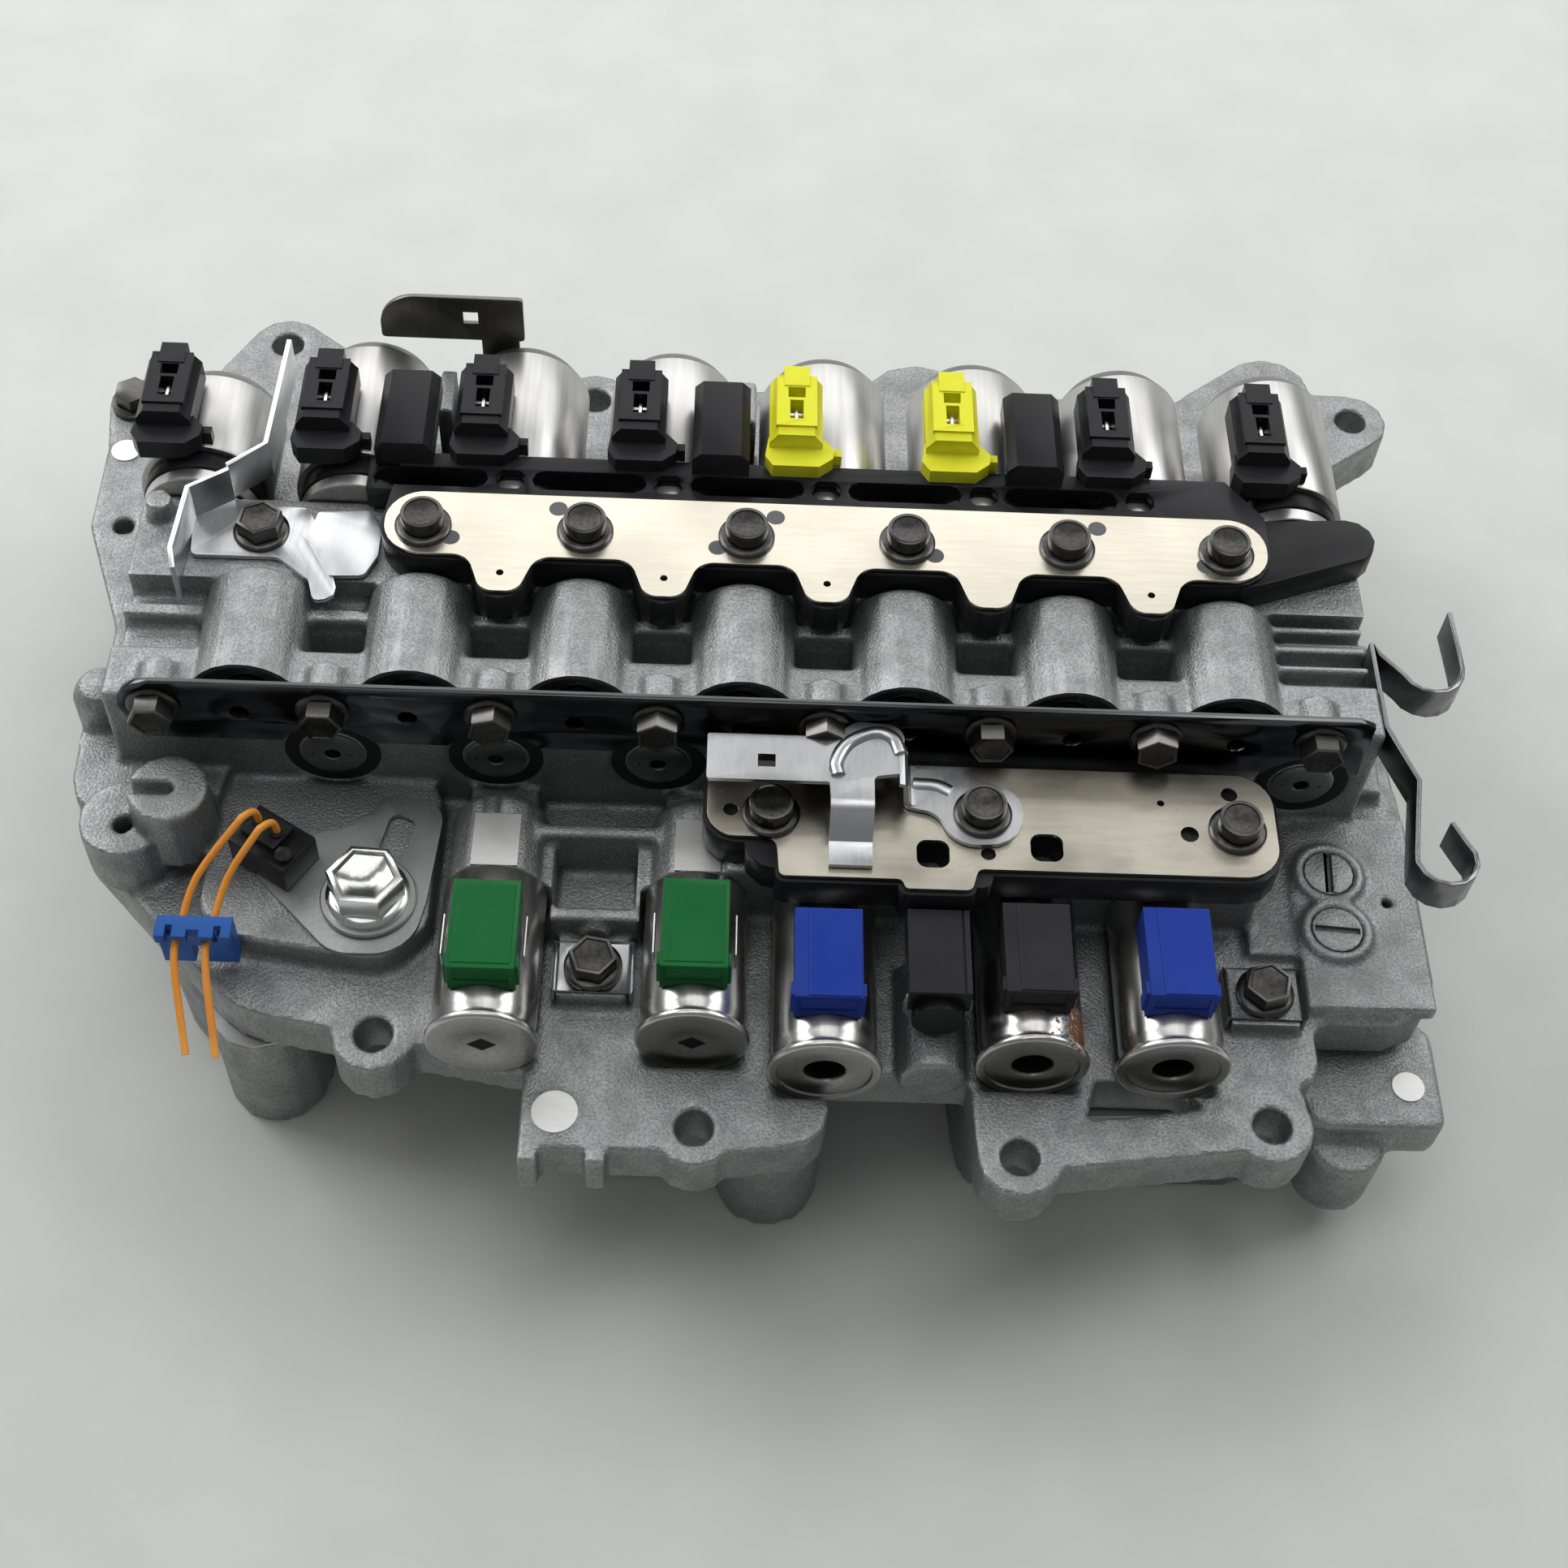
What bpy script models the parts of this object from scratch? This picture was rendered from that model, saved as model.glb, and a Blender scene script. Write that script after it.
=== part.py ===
# Transmission valve body with its solenoids, contact plates and sensor.
# Metres, Z up, X along the length, Y away from the viewer, floor at Z zero.
import bpy
import bmesh
from math import cos, pi, radians, sin, sqrt, tan
from mathutils import Matrix, Vector
from mathutils.geometry import convex_hull_2d

# Fits
GAP = 0.0003
EMBED = 0.0010
THROUGH = 0.0200

# Rear solenoids, which set the pitch of every bolt, boss and bore in the bank
CAN_COUNT = 8
CAN_R = 0.01725
CAN_SPACE = 0.0055
PITCH = 2 * CAN_R + CAN_SPACE
HALF = PITCH / 2
ROW_END = (CAN_COUNT - 1) * HALF
CAN_LENGTH = 0.0532
SHORT_CAN_LENGTH = 0.0402
CAN_CHAMFER = 0.0040
CAN_CHAMFER_IN = 0.0025
NECK_STEP = 0.0022
NECK_LENGTH = 0.0037
BAND_STEP = 0.0018
BAND_LENGTH = 0.0058
NOSE_R = CAN_R - 0.01055
NOSE_LENGTH = 0.0180

# Castings, from the floor up
SPLIT_H = 0.0400
SHEET = 0.0010
LOWER_TOP = SPLIT_H - SHEET - GAP
UPPER_FLOOR = SPLIT_H + GAP
DECK_T = 0.0142
DECK_H = UPPER_FLOOR + DECK_T
BANK_RISE = 0.0392
SEAT_H = DECK_H + BANK_RISE
POCKET_DEPTH = 0.0077
POCKET_H = SEAT_H - POCKET_DEPTH
CAN_PROUD = 0.00825
CAN_TOP = SEAT_H + CAN_PROUD
CAN_H = CAN_TOP - CAN_R
SHELF_H = CAN_H - CAN_R - GAP

# Castings, in plan
FACE_Y = -0.0477
LEDGE_Y = -0.0320
RIB_Y = -0.0170
RIB_T = 0.0035
RIB_RISE = 0.0050
SEAT_Y = -0.0100
REAR_FACE_Y = 0.0165
BANK_LEFT = -ROW_END - 0.0130
BANK_RIGHT = ROW_END + 0.0165
CAN_SEAT_Y = REAR_FACE_Y + GAP
CAN_START_Y = CAN_SEAT_Y + NECK_LENGTH + BAND_LENGTH
CAN_END_Y = CAN_SEAT_Y + CAN_LENGTH
SHELF_Y = CAN_END_Y - 0.0060

# Damper bosses and pistons
BOSS_COUNT = CAN_COUNT - 1
BOSS_R = 0.0137
BOSS_DROP = 0.0074
BOSS_H = SEAT_H - BOSS_DROP
BOSS_REAR_Y = SEAT_Y - 0.0002
BOSS_EDGE = 0.0016
ARCH_DEPTH = 0.0047
ARCH_WALL = 0.0013
ARCH_SILL = 0.0048
BOSS_FRONT_Y = FACE_Y + ARCH_DEPTH
PISTON_R = 0.0055
PISTON_LENGTH = 0.0180
PISTON_SET = 0.0012
PISTON_FRONT_Y = FACE_Y + PISTON_SET
PISTON_TRAVEL = 0.0080
CUP_R = 0.0034
CUP_DEPTH = 0.0110

# Rear connectors
PLUG_W = 0.0125
PLUG_SHIFT = -0.0080
PLUG_RISE = 0.0100
PLUG_BOTTOM = CAN_TOP + GAP
PLUG_TOP = PLUG_BOTTOM + PLUG_RISE
PLUG_WALL = 0.0018
MOUTH_LOW = 0.0010
MOUTH_HIGH = 0.0042
MOUTH_DEPTH = 0.0100
FOOT_W = 0.0190
FOOT_DEPTH = 0.0085
FOOT_RISE = 0.0052
FOOT_FRONT_Y = CAN_SEAT_Y + 0.0047
FOOT_REAR_Y = FOOT_FRONT_Y + FOOT_DEPTH
PLUG_LENGTH = 0.0195
PLUG_END_Y = FOOT_REAR_Y + PLUG_LENGTH

# Wiring carrier and upper contact plate
CARRIER_BOTTOM = SEAT_H + GAP
CARRIER_T = 0.0087
CARRIER_TOP = CARRIER_BOTTOM + CARRIER_T
PLATE_TOP = CARRIER_TOP + GAP + SHEET
PLATE_LEFT = -ROW_END + PITCH + 0.0103
PLATE_RIGHT = ROW_END - 0.0094
PLATE_REAR_Y = 0.0117
PLATE_FRONT_Y = -0.0087
PLATE_END_R = 0.0098
CARRIER_RIM = 0.0010
BOSS_CLEAR = sqrt(BOSS_R ** 2 - (CARRIER_BOTTOM - BOSS_H) ** 2) + GAP
TONGUE_COUNT = 5
TONGUE_MARGIN = 0.0032
TONGUE_SIDE = HALF - BOSS_CLEAR - TONGUE_MARGIN
TONGUE_Y = -0.0152
PIN_HOLE_R = 0.0011
DOT_R = 0.0023
CARRIER_REAR_Y = 0.0260
BLOCK_W = PITCH - 0.0255
BLOCK_RISE = 0.0078
BLOCK_WALL = 0.0014
BLOCK_TOP = PLUG_BOTTOM + BLOCK_RISE
BLOCK_END_Y = 0.0480
BLOCK_SHIFT = -0.0070
BLOCK_PLACES = (-2 * PITCH, 0.0, 2 * PITCH)
SLOT_D = 0.0064
SLOT_Y = 0.0180
EYE_W = 0.0072
SLOT_W = PITCH - EYE_W - 0.0040

# Bolts
FLANGE_R = 0.00675
FLANGE_T = 0.0013
HEAD_R = 0.0052
HEAD_T = 0.0045
SHANK_R = 0.0030
SHANK_L = 0.0160

# Retaining plate
STRIP_T = 0.0015
STRIP_FRONT_Y = FACE_Y - GAP - STRIP_T
STRIP_HEADS_Y = STRIP_FRONT_Y - FLANGE_T - HEAD_T
STRIP_BOLT_H = SEAT_H - 0.0012
STRIP_END_R = 0.0087
STRIP_TOP = STRIP_BOLT_H + STRIP_END_R
STRIP_DROP = 0.0125
STRIP_BOTTOM = STRIP_BOLT_H - STRIP_DROP
STRIP_RIGHT = ROW_END + 0.0120
STRIP_BOLT_BOSS_R = 0.0052
VENT_R = 0.0025
VENT_H = BOSS_H + 0.0043

# Bore plugs in the front wall
DISC_R = 0.0123
DISC_RING = 0.0043
DISC_DEPTH = 0.0012
DISC_H = SEAT_H - 0.0209
DISC_HOLE_R = 0.0022
DISC_MARGIN = 0.0010

# Front solenoids
BAY_DEPTH = 0.0320
VALVE_BACK_Y = FACE_Y - BAY_DEPTH
VALVE_RISE = 0.0075
VALVE_H = DECK_H + VALVE_RISE
VALVE_R = 0.01235
VALVE_CAP_R = 0.0135
VALVE_CAP_T = 0.0018
VALVE_NOSE_R = 0.0067
VALVE_NOSE_L = 0.0180
VALVE_RING_R = 0.0109
VALVE_HOLE_R = 0.00475
VALVE_KEY_R = 0.0038
VALVE_TOP = VALVE_H + VALVE_R
DOME_R = 0.0120
DOME_EDGE = 0.0040
DOME_LENGTH = 0.0237
SOCKET_W = 0.0157
SOCKET_L = 0.0240
SOCKET_WRAP = 0.0022
SOCKET_RISE = 0.0077
SOCKET_BACK = 0.0088
SOCKET_WALL = 0.0016
VALVES = ((-0.0580, 0.0423), (-0.0094, 0.0403), (0.0215, 0.0473), (0.0700, 0.0443), (0.1030, 0.0443))

# Lower contact plate and its carrier
LOW_BOTTOM = VALVE_TOP + GAP
LOW_CARRIER_T = 0.0090
LOW_TOP = LOW_BOTTOM + LOW_CARRIER_T + GAP + SHEET
LOW_REAR_Y = FACE_Y - 0.0068
LOW_DEPTH = 0.0295
LOW_RIGHT = 0.1286
SUPPORT_TOP = LOW_BOTTOM - GAP
LOW_BOLTS = ((0.0076, -0.0702), (0.0579, -0.0694), (0.1191, -0.0708))

# Seats and spots on the deck
RIGHT_DECK_RISE = 0.0035
RIGHT_DECK_H = DECK_H + RIGHT_DECK_RISE
PLUG_SPOTS = ((0.1480, -0.0650), (0.1480, -0.0816))
SCREW_R = 0.0062
SCREW_SEAT = RIGHT_DECK_H - 0.0008
SCREW_RISE = 0.0016
CLIP_SPOTS = ((-0.0335, -0.0990), (0.1275, -0.1010))
CLIP_SEAT = DECK_H + 0.0052
SENSOR_SEAT = DECK_H + 0.0085
SENSOR_BOLT = (-0.0880, -0.0842)
LEFT_BOLT = (-ROW_END + HALF - 0.0015, 0.0040)
REAR_BOLT = (-0.1745, 0.0865)

# Mounting
LUG_R = 0.0100
EAR_R = 0.0105
LUG_HOLE_R = 0.0046
FRONT_LUGS = ((-0.0844, -0.1155), (-0.0082, -0.1376), (0.0672, -0.1430), (0.1270, -0.1331))
REAR_HOLES = ((-0.1350, 0.1135), (-0.0440, 0.0955), (0.1775, 0.0985))

# Sheet metal
THIN = 0.0012

# Sensor and its wires
SENSOR_PLACE = (-0.1115, -0.0735, SENSOR_SEAT + THIN + GAP)
SENSOR_TURN = -32.0
SENSOR_TOP = 0.0105
WIRE_D = 0.0018
WIRE_EXITS = ((-0.0043, 0.0012), (0.0012, 0.0012))
WIRE_ENDS = ((-0.1262, -0.1245), (-0.1192, -0.1250))
WIRE_APART = 0.0036
HOLDER_PLACE = (-0.1262, -0.0975, SENSOR_SEAT + 0.0010)

# Shading: degrees past which an edge stays sharp
SHARP = 35

# Colours as red, green, blue with metallic and roughness
CAST = (0.42, 0.43, 0.44, 0.85, 0.45)
STEEL = (0.55, 0.54, 0.51, 1.0, 0.28)
PLATED = (0.62, 0.60, 0.54, 1.0, 0.25)
DARK_STEEL = (0.16, 0.16, 0.17, 0.9, 0.35)
ZINC = (0.68, 0.70, 0.72, 1.0, 0.22)
BLACK = (0.02, 0.02, 0.022, 0.0, 0.45)
YELLOW = (0.85, 0.80, 0.02, 0.0, 0.40)
GREEN = (0.0, 0.16, 0.05, 0.0, 0.35)
BLUE = (0.02, 0.06, 0.55, 0.0, 0.35)
ORANGE = (0.85, 0.27, 0.03, 0.0, 0.45)


# Outlines in plan

def arc(x, y, radius, first, last, steps):
    """Points on an arc, angles in degrees."""
    angles = [radians(first + (last - first) * k / steps) for k in range(steps + 1)]
    return [(x + radius * cos(a), y + radius * sin(a)) for a in angles]


def rounded(x, y, width, depth, radius, steps=2):
    """Outline of a rounded rectangle about a centre."""
    right, top = x + width / 2 - radius, y + depth / 2 - radius
    left, bottom = x - width / 2 + radius, y - depth / 2 + radius
    return (arc(right, top, radius, 0, 90, steps) + arc(left, top, radius, 90, 180, steps)
            + arc(left, bottom, radius, 180, 270, steps) + arc(right, bottom, radius, 270, 360, steps))


def filleted(corners, steps=2):
    """Outline through corners given as x, y and the radius that rounds each."""
    points = []
    for i, (x, y, radius) in enumerate(corners):
        corner = Vector((x, y))
        before = (Vector(corners[i - 1][:2]) - corner).normalized()
        after = (Vector(corners[(i + 1) % len(corners)][:2]) - corner).normalized()
        half = before.angle(after) / 2
        centre = corner + (before + after).normalized() * radius / sin(half)
        first = corner + before * radius / tan(half) - centre
        last = corner + after * radius / tan(half) - centre
        for k in range(steps + 1):
            points.append(tuple(centre + first.lerp(last, k / steps).normalized() * radius))
    return points


def arm(start, end, steps=12):
    """Outline round two circles given as x, y and radius, with straight sides between."""
    points = arc(*start, 0, 360, steps)[:-1] + arc(*end, 0, 360, steps)[:-1]
    return [points[i] for i in convex_hull_2d(points)]


# Basic shapes, each returned as vertices and faces

def prism(points, low, high):
    """A flat outline raised from one height to another."""
    count = len(points)
    vertices = [(x, y, low) for x, y in points] + [(x, y, high) for x, y in points]
    sides = [(i, (i + 1) % count, (i + 1) % count + count, i + count) for i in range(count)]
    return vertices, sides + [tuple(range(count)), tuple(range(count, 2 * count))]


def box(left, right, front, rear, low, high):
    return prism([(left, front), (right, front), (right, rear), (left, rear)], low, high)


def standing(shape):
    """A shape drawn in plan, stood up so that its plan depth becomes height."""
    return [(x, z, y) for x, y, z in shape[0]], shape[1]


def drawn_along_x(section, left, right):
    """A section given as depth and height, drawn from left to right."""
    vertices, faces = prism(section, left, right)
    return [(z, x, y) for x, y, z in vertices], faces


def lathe(profile, segments, place, along="Z"):
    """A closed round solid from (radius, height) pairs, first and last on the axis."""
    turn = {"Z": Matrix(), "Y": Matrix.Rotation(radians(-90), 4, "X")}[along]
    move = Matrix.Translation(place) @ turn
    vertices = [(0.0, 0.0, profile[0][1])]
    for radius, height in profile[1:-1]:
        for k in range(segments):
            angle = 2 * pi * (k + 0.5) / segments
            vertices.append((radius * cos(angle), radius * sin(angle), height))
    vertices.append((0.0, 0.0, profile[-1][1]))
    last = len(vertices) - 1
    rows = len(profile) - 2
    faces = [(0, 1 + (k + 1) % segments, 1 + k) for k in range(segments)]
    for row in range(rows - 1):
        start = 1 + row * segments
        for k in range(segments):
            near, far = start + k, start + (k + 1) % segments
            faces.append((near, far, far + segments, near + segments))
    start = 1 + (rows - 1) * segments
    faces += [(start + k, start + (k + 1) % segments, last) for k in range(segments)]
    return [tuple(move @ Vector(v)) for v in vertices], faces


def rod(radius, start, end, place, segments=12, along="Z"):
    """A plain cylinder from one station to another along its axis."""
    turn = {"Z": Matrix(), "Y": Matrix.Rotation(radians(-90), 4, "X")}[along]
    move = Matrix.Translation(place) @ turn
    ring = [2 * pi * (k + 0.5) / segments for k in range(segments)]
    vertices, faces = prism([(radius * cos(a), radius * sin(a)) for a in ring], start, end)
    return [tuple(move @ Vector(v)) for v in vertices], faces


def ring(inner, outer, start, end, x, height, segments):
    """A short tube along Y."""
    vertices = []
    for radius, y in ((outer, start), (outer, end), (inner, end), (inner, start)):
        for k in range(segments):
            angle = 2 * pi * (k + 0.5) / segments
            vertices.append((x + radius * cos(angle), y, height + radius * sin(angle)))
    faces = []
    for row in range(4):
        first, after = row * segments, (row + 1) % 4 * segments
        for k in range(segments):
            other = (k + 1) % segments
            faces.append((first + k, first + other, after + other, after + k))
    return vertices, faces


def ribbon(path, thickness, low, high):
    """A strip that stands on edge along a path in plan."""
    vertices = []
    for i, (x, y) in enumerate(path):
        before, after = path[max(i - 1, 0)], path[min(i + 1, len(path) - 1)]
        along = Vector((after[0] - before[0], after[1] - before[1])).normalized()
        across = Vector((-along.y, along.x)) * thickness / 2
        vertices += [(x + across.x, y + across.y, low), (x + across.x, y + across.y, high),
                     (x - across.x, y - across.y, high), (x - across.x, y - across.y, low)]
    last = 4 * (len(path) - 1)
    faces = [(0, 1, 2, 3), (last, last + 1, last + 2, last + 3)]
    for i in range(len(path) - 1):
        for side in range(4):
            a, b = 4 * i + side, 4 * i + (side + 1) % 4
            faces.append((a, b, b + 4, a + 4))
    return vertices, faces


def turned(shape, place, angle):
    """A shape turned about the vertical through the origin, then moved."""
    move = Matrix.Translation(place) @ Matrix.Rotation(radians(angle), 4, "Z")
    return [tuple(move @ Vector(v)) for v in shape[0]], shape[1]


# Objects

def mesh_from(name, shape):
    mesh = bpy.data.meshes.new(name)
    mesh.from_pydata(shape[0], [], shape[1])
    work = bmesh.new()
    work.from_mesh(mesh)
    bmesh.ops.recalc_face_normals(work, faces=work.faces)
    work.to_mesh(mesh)
    work.free()
    return mesh


def paint(thing, look):
    material = bpy.data.materials.new(thing.name)
    material.use_nodes = True
    shader = material.node_tree.nodes["Principled BSDF"]
    shader.inputs["Base Color"].default_value = (*look[:3], 1.0)
    shader.inputs["Metallic"].default_value = look[3]
    shader.inputs["Roughness"].default_value = look[4]
    thing.data.materials.append(material)


def operate(node, label, shapes, operation):
    """Joins or cuts a list of shapes, kept as hidden helpers, with one Boolean."""
    group = bpy.data.collections.new(f"{node.name}_{label}")
    bpy.context.scene.collection.children.link(group)
    for number, shape in enumerate(shapes):
        name = f"{node.name}_{label}_{number}"
        helper = bpy.data.objects.new(name, mesh_from(name, shape))
        helper.hide_render = True
        helper.display_type = "WIRE"
        group.objects.link(helper)
    modifier = node.modifiers.new(label, "BOOLEAN")
    modifier.operation = operation
    modifier.operand_type = "COLLECTION"
    modifier.collection = group
    modifier.solver = "EXACT"


def build(name, look, adds, cuts=(), smooth=False, origin=(0.0, 0.0, 0.0)):
    """One node: the first shape, the others joined to it, then the cuts."""
    base = [tuple(Vector(v) - Vector(origin)) for v in adds[0][0]], adds[0][1]
    node = bpy.data.objects.new(name, mesh_from(name, base))
    bpy.context.scene.collection.objects.link(node)
    node.location = origin
    paint(node, look)
    if smooth:
        node.data.shade_smooth()
        node.data.set_sharp_from_angle(angle=radians(SHARP))
    if len(adds) > 1:
        operate(node, "join", adds[1:], "UNION")
    if cuts:
        operate(node, "cut", cuts, "DIFFERENCE")
    return node


def columns(count):
    """X positions of a centred row on the shared grid."""
    return [(k - (count - 1) / 2) * PITCH for k in range(count)]


def round_bolt(x, y, seat, length=SHANK_L):
    """A cup head flange bolt that stands on a seat, head up."""
    profile = [(0, -length), (SHANK_R, -length), (SHANK_R, 0), (FLANGE_R, 0), (FLANGE_R, FLANGE_T),
               (HEAD_R, FLANGE_T), (HEAD_R, FLANGE_T + HEAD_T), (0, FLANGE_T + HEAD_T - EMBED)]
    return lathe(profile, 10, (x, y, seat))


def hexagon_bolt(x, y, seat, length=SHANK_L):
    """Shank, flange and hexagon head as separate shapes to be joined."""
    return [rod(SHANK_R, -length, EMBED, (x, y, seat), 8),
            rod(FLANGE_R, 0, FLANGE_T, (x, y, seat), 14),
            rod(HEAD_R, FLANGE_T - EMBED, FLANGE_T + HEAD_T, (x, y, seat), 6)]


# Upper casting: a flange plate with arms to its lugs, and the valve bank across it

def flange_shapes():
    plate = filleted([(-0.1640, -0.0620, 0.0150), (-0.1180, -0.1100, 0.0200), (-0.0490, -0.1225, 0.0040),
                      (0.1400, -0.1225, 0.0060), (0.1400, -0.1050, 0.0040), (0.1715, -0.1050, 0.0120),
                      (0.1715, -0.0500, 0.0200), (0.1660, 0.0200, 0.0200), (0.1700, 0.1050, 0.0100),
                      (-0.1800, 0.0980, 0.0080), (-0.1790, 0.0400, 0.0060), (-0.1660, 0.0050, 0.0100)])
    lugs = [((x, y, LUG_R), (x + shift, y + 0.0200, 0.0150))
            for (x, y), shift in zip(FRONT_LUGS, (0.0060, 0.0040, 0.0040, -0.0090))]
    ears = [((*REAR_HOLES[0], EAR_R), (-0.1300, 0.0900, 0.0260)),
            ((*REAR_HOLES[1], EAR_R), (-0.0440, 0.0800, 0.0200)),
            ((*REAR_HOLES[2], EAR_R), (0.1520, 0.0900, 0.0190)),
            ((*REAR_BOLT, 0.0075), (-0.1600, 0.0600, 0.0180))]
    edges = [((*FRONT_LUGS[1], 0.0075), (0.0130, -0.1320, 0.0100)),
             ((FRONT_LUGS[2][0], FRONT_LUGS[2][1] + 0.0020, 0.0060), (*FRONT_LUGS[3], 0.0060)),
             ((0.1540, 0.1100, 0.0130), (0.1400, 0.0900, 0.0200)),
             ((0.0500, 0.0980, 0.0170), (0.0500, 0.0800, 0.0300))]
    shapes = [prism(plate, UPPER_FLOOR, DECK_H)]
    shapes += [prism(arm(*pair), UPPER_FLOOR, DECK_H) for pair in lugs + ears + edges]
    shapes += [box(-0.0485, -0.0140, -0.1440, -0.1200, UPPER_FLOOR, DECK_H),
               box(-0.0485, -0.0440, -0.1475, -0.1430, UPPER_FLOOR, DECK_H),
               box(-0.0330, -0.0285, -0.1475, -0.1430, UPPER_FLOOR, DECK_H)]
    return shapes


def bank_shapes():
    """The valve bank as one drawn section, with its bosses across."""
    ledge, rib = SEAT_H - 0.0002, POCKET_H + RIB_RISE
    section = [(FACE_Y, DECK_H - EMBED), (FACE_Y, ledge), (LEDGE_Y, ledge), (LEDGE_Y, POCKET_H),
               (RIB_Y - RIB_T, POCKET_H), (RIB_Y - RIB_T, rib), (RIB_Y, rib), (RIB_Y, POCKET_H),
               (SEAT_Y, POCKET_H), (SEAT_Y, SEAT_H), (REAR_FACE_Y, SEAT_H), (REAR_FACE_Y, SHELF_H),
               (SHELF_Y, SHELF_H), (SHELF_Y, DECK_H - EMBED)]
    shapes = [drawn_along_x(section, BANK_LEFT, BANK_RIGHT)]
    boss = [(0, BOSS_FRONT_Y), (BOSS_R, BOSS_FRONT_Y), (BOSS_R, BOSS_REAR_Y - BOSS_EDGE),
            (BOSS_R - BOSS_EDGE, BOSS_REAR_Y), (0, BOSS_REAR_Y)]
    shapes += [lathe(boss, 20, (x, 0, BOSS_H), "Y") for x in columns(BOSS_COUNT)]
    shapes += [rod(BOSS_R, FACE_Y, BOSS_FRONT_Y + EMBED, (x, 0, BOSS_H), 20, "Y")
               for x in columns(BOSS_COUNT)]
    shapes += [rod(STRIP_BOLT_BOSS_R, FACE_Y, -0.0380, (x, 0, STRIP_BOLT_H), 10, "Y")
               for x in columns(CAN_COUNT)]
    return shapes


def front_shapes():
    """Domes behind the green valves, the pocketed web between them and the pads."""
    shapes = []
    for x, _ in VALVES[:2]:
        end = VALVE_BACK_Y + DOME_LENGTH
        dome = [(0, VALVE_BACK_Y), (DOME_R, VALVE_BACK_Y), (DOME_R, end - DOME_EDGE),
                (DOME_R - DOME_EDGE / 2, end - DOME_EDGE / 4), (DOME_R - DOME_EDGE, end), (0, end)]
        shapes.append(lathe(dome, 16, (x, 0, VALVE_H), "Y"))
        shapes.append(box(x - 0.0085, x + 0.0085, VALVE_BACK_Y + EMBED, FACE_Y + EMBED,
                          DECK_H - EMBED, VALVE_H))
    web_left, web_right = VALVES[0][0] + 0.0080, VALVES[1][0] - 0.0086
    shapes += [box(web_left, web_right, y, y + 0.0038, DECK_H - EMBED, DECK_H + rise)
               for y, rise in ((-0.0680, 0.0155), (-0.0895, 0.0120))]
    shapes += [box(x, x + 0.0030, -0.0870, -0.0670, DECK_H - EMBED, DECK_H + 0.0115)
               for x in (web_left + 0.0030, web_right - 0.0060)]
    shapes += [rod(0.0035, -0.0912, -0.0880, (CLIP_SPOTS[0][0], 0, DECK_H + 0.0065), 10, "Y"),
               box(-0.0025, 0.1270, VALVE_BACK_Y, FACE_Y + EMBED, DECK_H - EMBED, SUPPORT_TOP),
               prism(filleted([(-0.1285, -0.0470, 0.0040), (-0.1285, -0.0880, 0.0060),
                               (-0.1180, -0.0950, 0.0080), (-0.0830, -0.1000, 0.0080),
                               (-0.0735, -0.0900, 0.0060), (-0.0735, -0.0470, 0.0060)]),
                     DECK_H - EMBED, SENSOR_SEAT - GAP),
               rod(0.0080, -0.1250, -0.0950, (0.0470, 0, DECK_H + 0.0015), 12, "Y")]
    for x, y in CLIP_SPOTS:
        shapes.append(box(x - 0.0085, x + 0.0085, y - 0.0080, y + 0.0080, DECK_H - EMBED, CLIP_SEAT - GAP))
    return shapes


def end_shapes():
    """What stands at the two ends of the upper casting."""
    left = filleted([(-0.1650, -0.0170, 0.0060), (-0.1640, -0.0600, 0.0120), (-0.1300, -0.0740, 0.0100),
                     (-0.1260, -0.0460, 0.0060), (-0.1450, -0.0180, 0.0060)])
    shapes = [prism(left, DECK_H - EMBED, DECK_H + 0.0115),
              rod(0.0110, DECK_H - EMBED, DECK_H + 0.0160, (-0.1480, -0.0670, 0), 16),
              lathe([(0, DECK_H - 0.0045), (0.0072, DECK_H - 0.0045), (0.0072, DECK_H + 0.0195),
                     (0.0052, DECK_H + 0.0230), (0, DECK_H + 0.0245)], 14, (-0.1590, -0.0320, 0)),
              rod(0.0098, DECK_H + 0.0055, DECK_H + 0.0255, (-0.1366, -0.0645, 0), 16),
              box(0.1385, 0.1700, -0.1030, FACE_Y + EMBED, DECK_H - EMBED, RIGHT_DECK_H),
              box(0.1260, 0.1400, -0.0880, FACE_Y + 2 * EMBED, DECK_H - EMBED / 2, RIGHT_DECK_H - 0.0010),
              box(BANK_RIGHT - EMBED, BANK_RIGHT + 0.0085, -0.0400, 0.0300, DECK_H - EMBED, DECK_H + 0.0055),
              rod(0.0035, SEAT_H - EMBED, SEAT_H + 0.0063, (BANK_LEFT + 0.0055, 0.0095, 0), 8)]
    shapes += [rod(radius, DECK_H - EMBED, DECK_H + 0.0006, (x, y, 0), 12)
               for radius, x, y in ((0.0042, -0.1740, 0.0680), (0.0058, -0.0405, -0.1350))]
    shapes += [rod(0.0088, RIGHT_DECK_H - EMBED, RIGHT_DECK_H + 0.0020, (x, y, 0), 16)
               for x, y in PLUG_SPOTS]
    shapes += [box(ROW_END - 0.0070, BANK_RIGHT - EMBED, y, y + 0.0018, POCKET_H - EMBED, SEAT_H - 0.0012)
               for y in (-0.0145, -0.0208, -0.0270)]
    shapes += [box(x - 0.0020, x + 0.0020, 0.0480, SHELF_Y - EMBED, SHELF_H - EMBED, CAN_H + 0.0113)
               for x in BLOCK_PLACES]
    return shapes


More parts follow.
